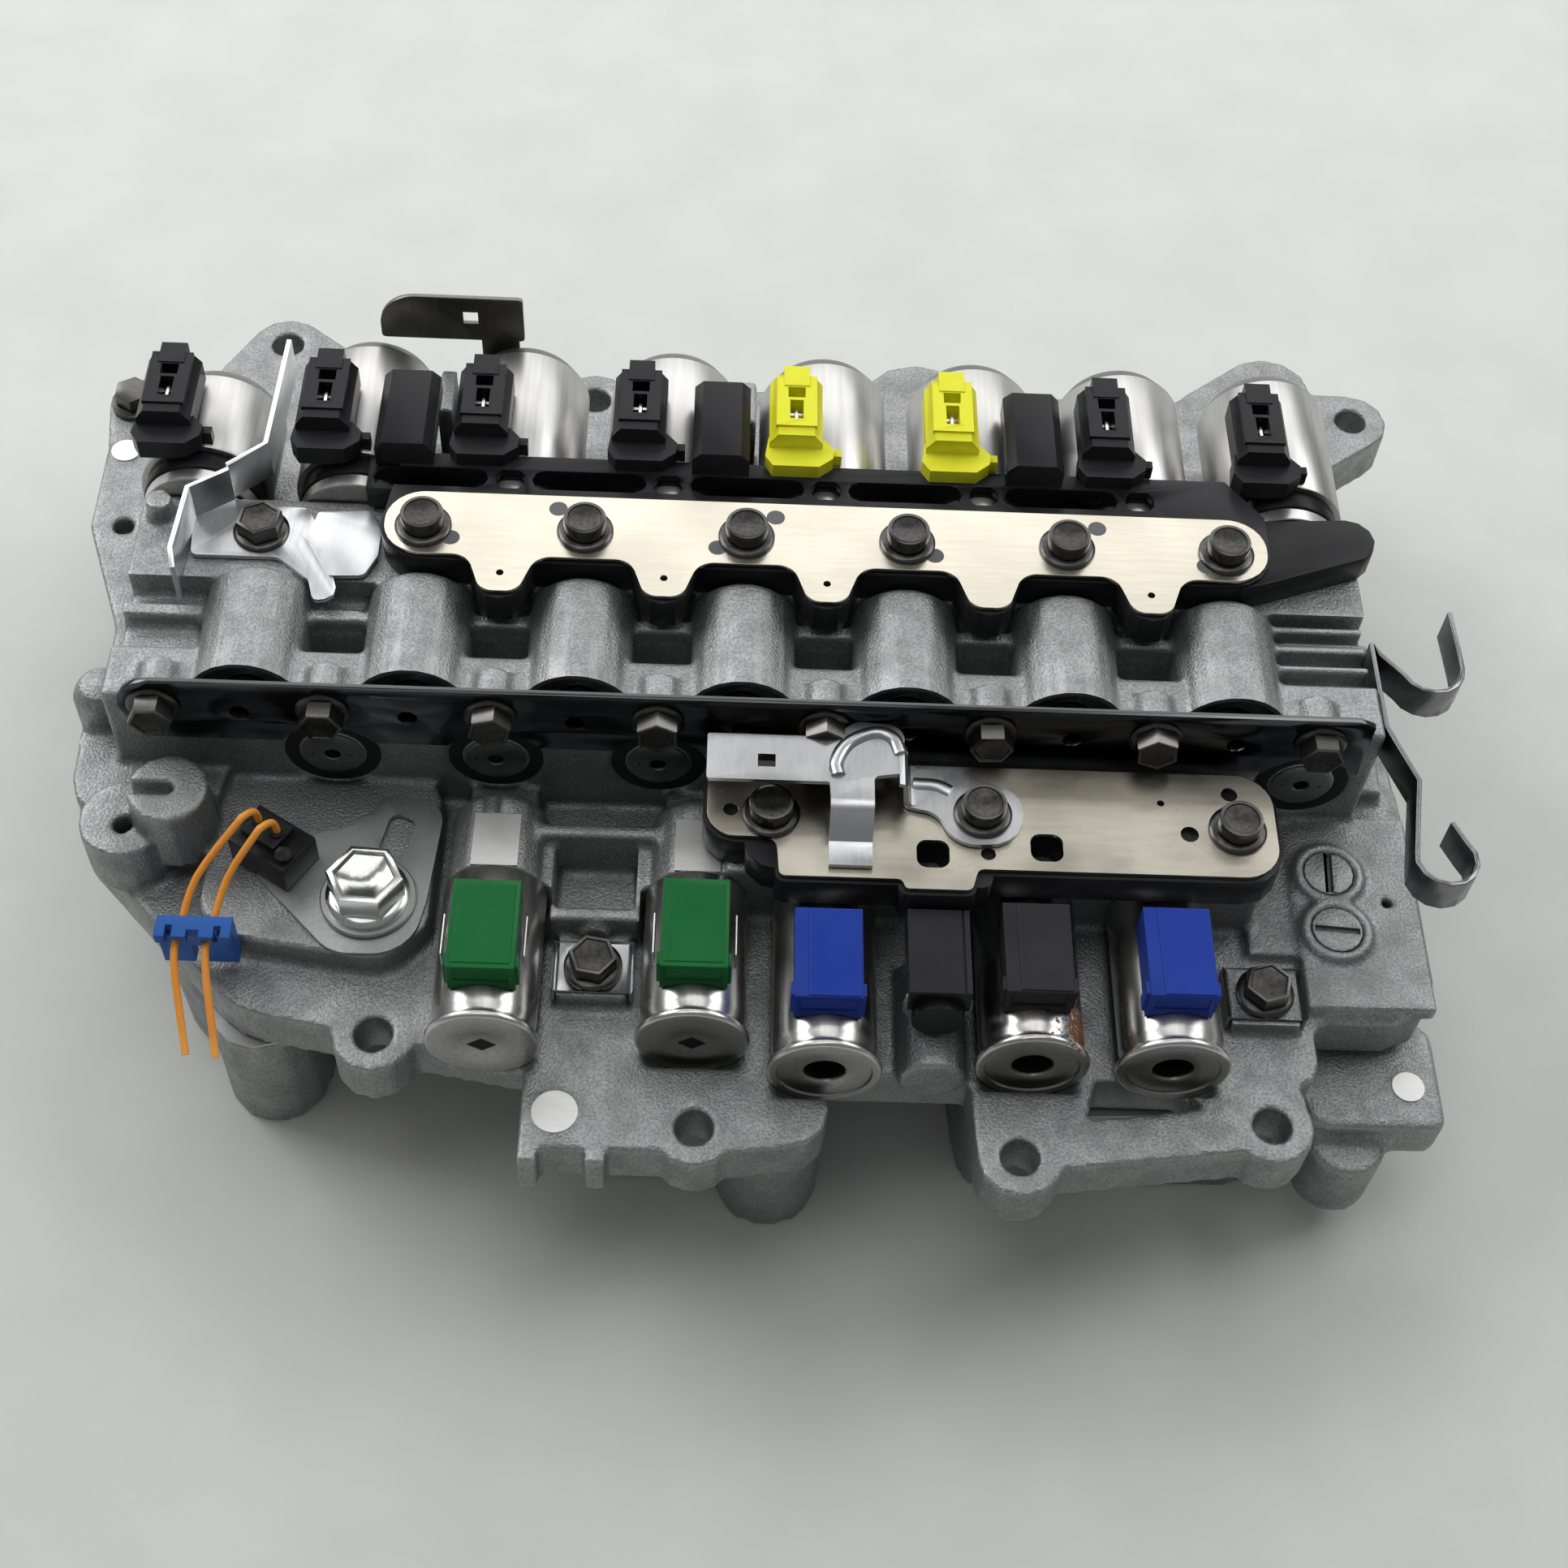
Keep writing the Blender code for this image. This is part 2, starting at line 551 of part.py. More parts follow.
def boss_cuts():
    """Piston bores, the recess at each boss front and the pockets between bosses."""
    bore_end = PISTON_FRONT_Y + PISTON_LENGTH + PISTON_TRAVEL + EMBED
    arch_r = BOSS_R - ARCH_WALL
    rise = sqrt(arch_r ** 2 - ARCH_SILL ** 2)
    cuts = []
    for x in columns(BOSS_COUNT):
        cuts.append(rod(PISTON_R + GAP, FACE_Y - THROUGH, bore_end, (x, 0, BOSS_H), 10, "Y"))
        arch = [(x - rise, BOSS_H - ARCH_SILL), (x + rise, BOSS_H - ARCH_SILL)]
        arch += arc(x, BOSS_H, arch_r, 0, 180, 8)
        cuts.append(standing(prism(arch, FACE_Y - THROUGH, BOSS_FRONT_Y - EMBED / 2)))
    pocket = HALF - BOSS_R + EMBED
    for x in columns(BOSS_COUNT)[:-1]:
        cuts.append(box(x + HALF - pocket, x + HALF + pocket, LEDGE_Y + 0.0005, RIB_Y - RIB_T - 0.0005,
                        POCKET_H - 0.0120, PLATE_TOP))
    return cuts


def row_cuts():
    """Sockets for the solenoids, holes for the bolts and grooves round the bore plugs."""
    cuts = []
    for x in columns(CAN_COUNT):
        cuts.append(rod(NOSE_R + GAP, CAN_SEAT_Y - NOSE_LENGTH - EMBED, REAR_FACE_Y + THROUGH,
                        (x, 0, CAN_H), 16, "Y"))
        cuts.append(rod(SHANK_R + GAP, FACE_Y - THROUGH, FACE_Y + 0.0100, (x, 0, STRIP_BOLT_H), 8, "Y"))
    for x in plugged_bores():
        cuts.append(ring(DISC_R - DISC_RING, DISC_R, FACE_Y - EMBED, FACE_Y + DISC_DEPTH, x, DISC_H, 16))
        cuts.append(rod(DISC_HOLE_R, FACE_Y - THROUGH, FACE_Y + 0.0040, (x, 0, DISC_H), 8, "Y"))
    for x, length in VALVES:
        cap_y = VALVE_BACK_Y - length
        cuts.append(rod(VALVE_CAP_R + 2 * GAP, cap_y - 0.0020, VALVE_BACK_Y, (x, 0, VALVE_H), 20, "Y"))
        cuts.append(rod(VALVE_NOSE_R + GAP, VALVE_BACK_Y - EMBED, VALVE_BACK_Y + VALVE_NOSE_L + EMBED,
                        (x, 0, VALVE_H), 16, "Y"))
    cuts += [rod(SHANK_R + GAP, SEAT_H - SHANK_L, SEAT_H + THROUGH, (x, 0, 0), 8) for x in plate_bolts()]
    return cuts


def plugged_bores():
    """The bores in the front wall that show a plug."""
    return columns(CAN_COUNT)[1:4] + columns(CAN_COUNT)[7:]


def hole_cuts():
    """Single holes, slots and flats."""
    cuts = [rod(LUG_HOLE_R, 0, DECK_H + THROUGH, (x, y, 0), 14) for x, y in FRONT_LUGS + REAR_HOLES]
    cuts += [rod(SCREW_R + GAP, SCREW_SEAT, SCREW_SEAT + THROUGH, (x, y, 0), 16) for x, y in PLUG_SPOTS]
    cuts += [box(x - 0.0060, x + 0.0060, VALVE_BACK_Y - EMBED, VALVE_BACK_Y + 0.0167,
                 VALVE_H + DOME_R - 0.0010, VALVE_H + THROUGH) for x, _ in VALVES[:2]]
    cuts += [rod(SHANK_R + GAP, seat - depth, seat + THROUGH, (x, y, 0), 8)
             for (x, y), seat, depth in [(spot, CLIP_SEAT, 0.0130) for spot in CLIP_SPOTS]
             + [(spot, SUPPORT_TOP, 0.0100) for spot in LOW_BOLTS]
             + [(LEFT_BOLT, SEAT_H, SHANK_L), (REAR_BOLT, DECK_H, 0.0110)]]
    cuts += [rod(SHANK_R + 2 * GAP, SENSOR_SEAT - SHANK_L, SENSOR_SEAT + THROUGH, (*SENSOR_BOLT, 0), 8),
             rod(0.0026, DECK_H, DECK_H + THROUGH, (-0.1480, -0.0690, 0), 8),
             box(-0.1470, -0.1350, -0.0662, -0.0628, DECK_H + 0.0200, DECK_H + 0.0300),
             rod(0.0015, RIGHT_DECK_H - 0.0100, RIGHT_DECK_H + THROUGH, (0.1620, -0.0723, 0), 8),
             rod(0.0030, DECK_H - 0.0065, DECK_H + THROUGH, (-0.1700, 0.0405, 0), 8)]
    return cuts


def upper_body():
    build("upper_body", CAST, flange_shapes() + bank_shapes() + front_shapes() + end_shapes(),
          boss_cuts() + row_cuts() + hole_cuts())


# Lower casting and the separator plate

def lower_outlines():
    """The joint face of the lower casting, as overlapping outlines."""
    return [filleted([(-0.1570, -0.0500, 0.0150), (-0.1350, -0.0930, 0.0150), (0.1630, -0.0930, 0.0160),
                      (0.1630, 0.0800, 0.0150), (-0.1570, 0.0800, 0.0150)]),
            arm((-0.1150, -0.0990, 0.0130), (-0.1180, -0.0760, 0.0180)),
            filleted([(-0.0420, -0.1250, 0.0080), (0.0170, -0.1250, 0.0080), (0.0240, -0.0800, 0.0040),
                      (-0.0460, -0.0800, 0.0040)]),
            filleted([(0.0590, -0.1260, 0.0080), (0.1360, -0.1220, 0.0120), (0.1540, -0.0800, 0.0040),
                      (0.0540, -0.0800, 0.0040)]),
            filleted([(-0.1660, 0.0500, 0.0050), (-0.0900, 0.0500, 0.0050), (-0.0860, 0.0980, 0.0080),
                      (-0.1660, 0.0960, 0.0120)]),
            filleted([(0.0100, 0.0600, 0.0050), (0.1600, 0.0600, 0.0050), (0.1600, 0.0980, 0.0120),
                      (0.0100, 0.0980, 0.0120)])]


def lower_body():
    adds = [prism(outline, 0.0, LOWER_TOP) for outline in lower_outlines()]
    adds += [rod(0.0130, 0.0, LOWER_TOP - 0.0030, (0.0100, -0.1240, 0), 16),
             prism(filleted([(0.1400, -0.0850, 0.0020), (0.1620, -0.0850, 0.0060), (0.1750, -0.0980, 0.0030),
                             (0.1750, -0.1240, 0.0030), (0.1400, -0.1240, 0.0060)]),
                   LOWER_TOP - 0.0147, LOWER_TOP - 0.0012),
             rod(0.0100, 0.0080, LOWER_TOP - 0.0087, (0.1520, -0.1230, 0), 16),
             rod(0.0042, LOWER_TOP - 0.0022, LOWER_TOP - 0.0007, (0.1665, -0.1130, 0), 12)]
    channels = [((-0.1200, -0.0550, 0.0060), (-0.0500, -0.0550, 0.0060)),
                ((0.0500, -0.0600, 0.0060), (0.1150, -0.0600, 0.0060)),
                ((-0.1150, 0.0520, 0.0060), (-0.0300, 0.0520, 0.0060)),
                ((0.0350, 0.0520, 0.0060), (0.1250, 0.0450, 0.0060)),
                ((-0.0900, -0.0150, 0.0050), (-0.0500, 0.0200, 0.0050)),
                ((0.0550, -0.0200, 0.0050), (0.1050, 0.0100, 0.0050))]
    build("lower_body", CAST, adds, [prism(arm(*pair, 8), -EMBED, 0.0120) for pair in channels])


def separator_plate():
    shapes = [prism(outline, SPLIT_H - SHEET, SPLIT_H) for outline in lower_outlines()]
    build("separator_plate", STEEL, shapes)


# Rear solenoids

def rear_solenoids():
    looks = (BLACK, BLACK, BLACK, BLACK, YELLOW, YELLOW, BLACK, BLACK)
    for number, (x, look) in enumerate(zip(columns(CAN_COUNT), looks), 1):
        rear_can(number, x, SHORT_CAN_LENGTH if number == 1 else CAN_LENGTH)
        rear_connector(number, x, look)


def rear_can(number, x, length):
    neck, band = CAN_R - NECK_STEP, CAN_R - BAND_STEP
    band_y, end = CAN_SEAT_Y + NECK_LENGTH, CAN_SEAT_Y + length
    profile = [(0, CAN_SEAT_Y - NOSE_LENGTH), (NOSE_R, CAN_SEAT_Y - NOSE_LENGTH), (NOSE_R, CAN_SEAT_Y),
               (neck, CAN_SEAT_Y), (neck, band_y), (band, band_y), (band, CAN_START_Y),
               (CAN_R, CAN_START_Y), (CAN_R, end - CAN_CHAMFER), (CAN_R - CAN_CHAMFER_IN, end), (0, end)]
    build(f"rear_can_{number}", STEEL, [lathe(profile, 16, (x, 0, CAN_H), "Y")], smooth=True)


def rear_connector(number, x, look):
    """Plug socket on top of a can, with the foot that leads its pins down to the carrier."""
    mid, half = x + PLUG_SHIFT, PLUG_W / 2
    foot_top = PLUG_BOTTOM + FOOT_RISE
    adds = [box(mid - half, mid + half, FOOT_REAR_Y - EMBED, PLUG_END_Y, PLUG_BOTTOM, PLUG_TOP - 0.0020),
            box(mid - half + 0.0015, mid + half - 0.0015, FOOT_REAR_Y - 0.0005, PLUG_END_Y - 0.0090,
                PLUG_BOTTOM + 2 * EMBED, PLUG_TOP - 0.0005),
            box(mid - 0.0032, mid + 0.0032, PLUG_END_Y - 0.0120, PLUG_END_Y + 0.0030,
                PLUG_TOP - 0.0040, PLUG_TOP),
            box(mid - FOOT_W / 2, mid + FOOT_W / 2, FOOT_FRONT_Y, FOOT_REAR_Y,
                CARRIER_TOP + EMBED, foot_top),
            box(mid - 0.0040, x + 0.0040, CAN_START_Y + GAP, FOOT_REAR_Y - 0.0004,
                CAN_H + CAN_R / 2, foot_top - EMBED)]
    cuts = [rod(CAN_R + GAP, REAR_FACE_Y, CAN_END_Y, (x, 0, CAN_H), 16, "Y"),
            box(mid - half + PLUG_WALL, mid + half - PLUG_WALL, PLUG_END_Y - MOUTH_DEPTH,
                PLUG_END_Y + EMBED, PLUG_BOTTOM + MOUTH_LOW, PLUG_TOP - MOUTH_HIGH),
            box(mid - 0.0016, mid + 0.0016, FOOT_REAR_Y + 0.0030, PLUG_END_Y - 0.0110,
                PLUG_TOP - 0.0045, PLUG_TOP + EMBED)]
    build(f"rear_connector_{number}", look, adds, cuts)


# Wiring carrier and upper contact plate

def plate_bolts():
    return [x - HALF for x in columns(CAN_COUNT)[2:]]


def plate_outline(grow, rear):
    """Scalloped outline of the upper plate, counter-clockwise from the left end."""
    middle_y = (PLATE_REAR_Y + PLATE_FRONT_Y) / 2
    radius = PLATE_END_R + grow
    left, right = PLATE_LEFT + PLATE_END_R, PLATE_RIGHT - PLATE_END_R
    carrier = rear > PLATE_REAR_Y + grow
    points = [(PLATE_LEFT + 0.0030 - grow, rear)] if carrier else []
    points += arc(left, middle_y, radius, 170 if carrier else 90, 270, 8)
    for x in plate_bolts()[:TONGUE_COUNT]:
        tongue = x + HALF
        reach = HALF - BOSS_CLEAR + (0.0 if grow else 2 * CARRIER_RIM)
        points.append((tongue - reach, PLATE_FRONT_Y - grow))
        points += arc(tongue, TONGUE_Y, TONGUE_SIDE + grow, 180, 360, 6)
        points.append((tongue + reach, PLATE_FRONT_Y - grow))
    points += arc(right, middle_y, radius, 270, 360, 4)
    if carrier:
        return points + [(PLATE_RIGHT + grow, rear - 0.0120), (PLATE_RIGHT - 0.0080, rear)]
    return points + arc(right, middle_y, radius, 22.5, 90, 3)


def upper_plate():
    low, high = CARRIER_BOTTOM, PLATE_TOP + THROUGH
    reach = SHANK_L + PLATE_TOP - SEAT_H - 2 * EMBED
    bolts = [round_bolt(x, 0, PLATE_TOP - SHEET / 2, reach) for x in plate_bolts()]
    cuts = [rod(PIN_HOLE_R, low, high, (plate_bolts()[k] + HALF, TONGUE_Y + EMBED, 0), 6)
            for k in range(TONGUE_COUNT) if k != 3]
    dots = ((0, 0.0070, -0.0034), (1, -0.0071, 0.0073), (2, 0.0072, 0.0070), (2, -0.0071, -0.0037),
            (3, 0.0068, -0.0038), (4, 0.0081, 0.0071), (5, -0.0055, -0.0041))
    cuts += [rod(DOT_R, low, high, (plate_bolts()[k] + x, y, 0), 8) for k, x, y in dots]
    sheet = prism(plate_outline(0.0, PLATE_REAR_Y), PLATE_TOP - SHEET, PLATE_TOP)
    build("upper_contact_plate", PLATED, [sheet] + bolts, cuts)


def upper_housing():
    """Moulded carrier: slots and eyes behind the plate, three plug blocks, two side arms."""
    adds = [prism(plate_outline(CARRIER_RIM, CARRIER_REAR_Y), CARRIER_BOTTOM, CARRIER_TOP),
            prism(arm((PLATE_RIGHT - 0.0066, 0.0020, 0.0110), (PLATE_RIGHT + 0.0219, 0.0082, 0.0068)),
                  CARRIER_BOTTOM, CARRIER_TOP - 0.0008),
            box(PLATE_LEFT - 0.0063, PLATE_LEFT + 0.0097, 0.0140, 0.0255,
                CARRIER_BOTTOM + EMBED, CARRIER_TOP - EMBED)]
    cuts = [rod(CAN_R - BAND_STEP + GAP, REAR_FACE_Y - EMBED, SHELF_Y, (x, 0, CAN_H), 16, "Y")
            for x in columns(CAN_COUNT)[1:]]
    for x in BLOCK_PLACES:
        left, right = x + BLOCK_SHIFT - BLOCK_W / 2, x + BLOCK_SHIFT + BLOCK_W / 2
        adds.append(box(left, right, CARRIER_REAR_Y - 0.0040, BLOCK_END_Y, PLUG_BOTTOM, BLOCK_TOP))
        cuts.append(box(left + BLOCK_WALL, right - BLOCK_WALL, BLOCK_END_Y - 0.0120, BLOCK_END_Y + EMBED,
                        PLUG_BOTTOM + BLOCK_WALL, BLOCK_TOP - BLOCK_WALL))
    slots = plate_bolts()[:TONGUE_COUNT]
    outlines = [rounded(x, SLOT_Y, SLOT_W, SLOT_D, SLOT_D / 2 - GAP) for x in slots]
    outlines += [rounded(x + HALF, SLOT_Y, EYE_W, EYE_W - 0.0010, 0.0015, 1) for x in slots]
    cuts += [prism(outline, CARRIER_BOTTOM - EMBED, CARRIER_TOP + EMBED) for outline in outlines]
    cuts += [rod(SHANK_R + GAP, CARRIER_BOTTOM - EMBED, CARRIER_TOP + EMBED, (x, 0, 0), 8)
             for x in plate_bolts()]
    build("upper_housing", BLACK, adds, cuts)


# Retaining plate and the pistons behind it

def retaining_plate():
    """Strip over the damper bores, arched over the bore plugs, with its eight bolts."""
    outline = [(STRIP_RIGHT, STRIP_BOTTOM), (STRIP_RIGHT, STRIP_TOP - 0.0020),
               (STRIP_RIGHT - 0.0040, STRIP_TOP)]
    outline += arc(-ROW_END, STRIP_BOLT_H, STRIP_END_R, 90, 210, 5)
    outline += [(-ROW_END - 0.0040, STRIP_BOTTOM)]
    adds = [standing(prism(outline, STRIP_FRONT_Y, FACE_Y - GAP))]
    for x in columns(CAN_COUNT):
        place, inside = (x, 0, STRIP_BOLT_H), STRIP_FRONT_Y + STRIP_T / 3
        adds += [rod(SHANK_R, inside, FACE_Y + 0.0090, place, 8, "Y"),
                 rod(FLANGE_R - 0.0007, STRIP_FRONT_Y - FLANGE_T, inside, place, 12, "Y"),
                 rod(HEAD_R, STRIP_HEADS_Y, STRIP_FRONT_Y - FLANGE_T / 2, place, 6, "Y")]
    cuts = [rod(VENT_R, FACE_Y - THROUGH, FACE_Y + THROUGH, (x, 0, VENT_H), 8, "Y")
            for x in columns(BOSS_COUNT)]
    cuts += [rod(DISC_R + DISC_MARGIN, FACE_Y - THROUGH, FACE_Y + THROUGH, (x, 0, DISC_H), 20, "Y")
             for x in plugged_bores()]
    build("retaining_plate", DARK_STEEL, adds, cuts)


def pistons():
    """Damper pistons, each with its origin on the axis of its slide."""
    rear = PISTON_FRONT_Y + PISTON_LENGTH
    profile = [(0, PISTON_FRONT_Y), (PISTON_R - 0.0008, PISTON_FRONT_Y),
               (PISTON_R, PISTON_FRONT_Y + 0.0008), (PISTON_R, rear), (CUP_R, rear),
               (CUP_R, rear - CUP_DEPTH), (0, rear - CUP_DEPTH)]
    for number, x in enumerate(columns(BOSS_COUNT), 1):
        build(f"damper_piston_{number}", DARK_STEEL, [lathe(profile, 10, (x, 0, BOSS_H), "Y")],
              smooth=True, origin=(x, PISTON_FRONT_Y, BOSS_H))


# Front solenoids

def front_solenoids():
    looks = (GREEN, GREEN, BLUE, BLACK, BLUE)
    for number, ((x, length), look) in enumerate(zip(VALVES, looks), 1):
        front_can(number, x, VALVE_BACK_Y - length)
        front_connector(number, x, VALVE_BACK_Y - length, look)


def front_can(number, x, cap_y):
    """Can with a rolled cap: a diamond key hole on the first two, a round one on the rest."""
    back = VALVE_BACK_Y - GAP
    profile = [(0, back + VALVE_NOSE_L), (VALVE_NOSE_R, back + VALVE_NOSE_L), (VALVE_NOSE_R, back),
               (VALVE_R, back), (VALVE_R, cap_y + VALVE_CAP_T), (VALVE_CAP_R, cap_y + VALVE_CAP_T),
               (VALVE_CAP_R, cap_y + 0.0005), (VALVE_CAP_R - 0.0005, cap_y)]
    if number < 3:
        profile += [(0, cap_y)]
        hole = rod(VALVE_KEY_R, cap_y - EMBED, cap_y + 0.0030, (x, 0, VALVE_H), 4, "Y")
    else:
        profile += [(VALVE_RING_R, cap_y), (VALVE_RING_R, cap_y + 0.0006), (0, cap_y + 0.0006)]
        hole = rod(VALVE_HOLE_R, cap_y - EMBED, cap_y + 0.0050, (x, 0, VALVE_H), 10, "Y")
    build(f"front_can_{number}", STEEL, [lathe(profile, 16, (x, 0, VALVE_H), "Y")], [hole], smooth=True)


def front_connector(number, x, cap_y, look):
    """Socket saddled on a can, open to the front."""
    front, half = cap_y + SOCKET_BACK, SOCKET_W / 2
    low, high = VALVE_TOP - SOCKET_WRAP, VALVE_TOP + SOCKET_RISE
    adds = [box(x - half, x + half, front, front + SOCKET_L, low, high),
            box(x - half - 0.0008, x + half + 0.0008, front + 0.0010, front + 0.0045,
                low + EMBED, high - EMBED)]
    cuts = [rod(VALVE_R + GAP, front - EMBED, front + SOCKET_L + EMBED, (x, 0, VALVE_H), 16, "Y"),
            box(x - half + SOCKET_WALL, x + half - SOCKET_WALL, front - EMBED, front + 0.0130,
                VALVE_TOP + 0.0019, high - 0.0014)]
    build(f"front_connector_{number}", look, adds, cuts)


# Lower contact plate and its carrier

LOW_WINDOWS = ((0.0459, -0.0801), (0.0730, -0.0774))


def low_shapes(grow, low, high):
    """Stepped outline of the lower plate: the main field, the left pad and two steps in front."""
    front = LOW_REAR_Y - LOW_DEPTH
    fields = ((0.0020, LOW_RIGHT, front, LOW_REAR_Y, 0.0080), (-0.0076, 0.0200, -0.0766, LOW_REAR_Y, 0.0070),
              (0.0097, 0.0590, front - 0.0034, LOW_REAR_Y - 0.0060, 0.0015),
              (0.0385, 0.0550, front - 0.0060, LOW_REAR_Y - 0.0120, 0.0015))
    shapes = []
    for left, right, near, far, radius in fields:
        width, depth = right - left + 2 * grow, far - near + 2 * grow
        outline = rounded((left + right) / 2, (near + far) / 2, width, depth, radius + grow, 3)
        shapes.append(prism(outline, low, high))
    return shapes


def lower_plate():
    reach = LOW_TOP - SUPPORT_TOP + 0.0080
    bolts = [round_bolt(x, y, LOW_TOP - SHEET / 2, reach) for x, y in (LOW_BOLTS[0], LOW_BOLTS[2])]
    low, high = LOW_BOTTOM, LOW_TOP + EMBED
    cuts = [rod(SHANK_R + GAP, low, high, (*LOW_BOLTS[1], 0), 8)]
    cuts += [prism(rounded(x, y, 0.0078, 0.0078, 0.0025), low, high) for x, y in LOW_WINDOWS]
    cuts += [rod(radius, low, high, (x, y, 0), 8)
             for x, y, radius in ((-0.0020, -0.0691, 0.0018), (0.0590, -0.0796, 0.0018),
                                  (0.1013, -0.0634, 0.0009), (0.1075, -0.0722, 0.0022),
                                  (0.1182, -0.0602, 0.0020))]
    build("lower_contact_plate", PLATED, low_shapes(0.0, LOW_TOP - SHEET, LOW_TOP) + bolts, cuts)


def lower_housing():
    top = LOW_BOTTOM + LOW_CARRIER_T
    cuts = [rod(SHANK_R + GAP, LOW_BOTTOM - EMBED, top + EMBED, (x, y, 0), 8) for x, y in LOW_BOLTS]
    cuts += [prism(rounded(x, y, 0.0088, 0.0088, 0.0025, 1), LOW_BOTTOM - EMBED, top + EMBED)
             for x, y in LOW_WINDOWS]
    build("lower_housing", BLACK, low_shapes(CARRIER_RIM, LOW_BOTTOM, top), cuts)


# Sheet brackets and clips

def clip_bracket():
    """Folded sheet on the lower plate: flat arm, hump, strap with a foot, and a bolted tail."""
    seat = LOW_TOP + GAP
    high = seat + 0.0087
    rear = STRIP_HEADS_Y - 3 * GAP
    bolt_x, bolt_y = LOW_BOLTS[1]
    adds = [box(-0.0080, 0.0400, -0.0676, rear, high, high + THIN),
            prism(arm((HALF + 0.0100, rear - 0.0010, 0.0048), (HALF + 0.0152, rear - 0.0010, 0.0048), 10),
                  high, high + THIN),
            box(0.0205, 0.0315, -0.0676, -0.0664, seat, high + THIN),
            box(0.0205, 0.0315, -0.0860, -0.0670, seat, seat + THIN),
            box(0.0388, 0.0400, -0.0660, -0.0570, seat, high + THIN),
            prism(arm((0.0440, -0.0620, 0.0050), (bolt_x, bolt_y, 0.0095)), seat, seat + THIN),
            round_bolt(bolt_x, bolt_y, seat + THIN / 2, seat - SUPPORT_TOP + 0.0070)]
    cuts = [box(0.0040, 0.0085, -0.0640, -0.0600, high - EMBED, high + 2 * THIN)]
    build("clip_bracket", STEEL, adds, cuts)


def retaining_clips():
    """Sheet clips that hold the front valves, each with its hexagon bolt."""
    wide, deep, fold = 0.0098, 0.0070, 0.0045
    for number, (x, y) in enumerate(CLIP_SPOTS, 1):
        adds = [box(x - wide, x + wide, y - deep, y + deep, CLIP_SEAT, CLIP_SEAT + THIN)]
        adds += [box(side, side + THIN, y - deep, y + deep, CLIP_SEAT - fold, CLIP_SEAT + THIN / 2)
                 for side in (x - wide, x + wide - THIN)]
        adds += hexagon_bolt(x, y, CLIP_SEAT + THIN / 2, 0.0120)
        build(f"retaining_clip_{number}", DARK_STEEL if number == 2 else STEEL, adds)


def left_bracket():
    """Plate under the left bolt with its tongue and the upright flange beside the first can."""
    x, y = LEFT_BOLT
    sheet = filleted([(-0.0164, -0.0082, 0.0015), (0.0050, -0.0081, 0.0030), (0.0135, -0.0150, 0.0020),
                      (0.0154, -0.0218, 0.0015), (0.0216, -0.0205, 0.0030), (0.0145, 0.0010, 0.0040),
                      (0.0105, 0.0085, 0.0020), (-0.0020, 0.0090, 0.0020), (-0.0085, 0.0110, 0.0015),
                      (-0.0180, 0.0061, 0.0015)])
    reach = HALF + 0.0098
    tongue = filleted([(0.0115, -0.0020, 0.0010), (reach - 0.0113, -0.0140, 0.0010),
                       (reach - 0.0028, -0.0136, 0.0020), (reach, -0.0070, 0.0030),
                       (reach, 0.0010, 0.0030), (reach - 0.0028, 0.0080, 0.0010),
                       (0.0135, 0.0070, 0.0010)])
    path = [(-0.0169, -0.0220), (-0.0185, -0.0155), (-0.0175, 0.0045), (-0.0085, 0.0110),
            (0.0000, 0.0190), (0.0010, 0.0560)]
    shapes = [prism(sheet, 0, THIN), prism(tongue, EMBED / 2, EMBED / 2 + THIN),
              ribbon(path[:4], THIN, 0, 0.0120), ribbon(path[3:], THIN, 0.0020, 0.0135)]
    adds = [turned(shape, (x, y, CARRIER_BOTTOM), 0) for shape in shapes]
    build("left_bracket", STEEL, adds + hexagon_bolt(x, y, CARRIER_BOTTOM + THIN / 2, 0.0140))


def rear_tab_bracket():
    """Upright tab behind the second and third can, on a foot on the rear flange."""
    rear, seat = CAN_END_Y + 0.0020, DECK_H + GAP
    tab = filleted([(-0.0985, CAN_H + 0.0138, 0.0010), (-0.0605, CAN_H + 0.0138, 0.0010),
                    (-0.0605, PLUG_TOP + 0.0008, 0.0010), (-0.0985, PLUG_TOP + 0.0008, 0.0060)])
    adds = [standing(prism(tab, rear, rear + THIN)),
            box(-0.0720, -0.0620, rear, rear + THIN, seat, CAN_H + 0.0160),
            box(-0.0720, -0.0620, rear, rear + 0.0200, seat, seat + THIN)]
    cuts = [box(-0.0765, -0.0725, rear - THROUGH, rear + THROUGH, PLUG_TOP - 0.0080, PLUG_TOP - 0.0040)]
    build("rear_tab_bracket", DARK_STEEL, adds, cuts)


def rear_bolt():
    build("rear_flange_bolt", DARK_STEEL, hexagon_bolt(*REAR_BOLT, DECK_H + GAP, 0.0100))


def hook_bracket():
    """Spring strip along the right end with two open hooks."""
    wall = BANK_RIGHT + GAP + THIN / 2
    first = [(wall + 0.0216, -0.0060), (wall + 0.0219, -0.0180)]
    first += arc(wall + 0.0141, -0.0240, 0.0078, 0, -160, 7)
    second = [(wall + 0.0018, -0.0800)] + arc(wall + 0.0086, -0.0815, 0.0072, 190, 400, 8)
    second.append((wall + 0.0116, -0.0710))
    middle = [(wall + 0.0018, -0.0205), (wall, -0.0170), (wall, -0.0430), (wall + 0.0056, -0.0590)]
    build("hook_bracket", STEEL, [ribbon(first + middle + second, THIN, SEAT_H - 0.0117, SEAT_H - 0.0017)])


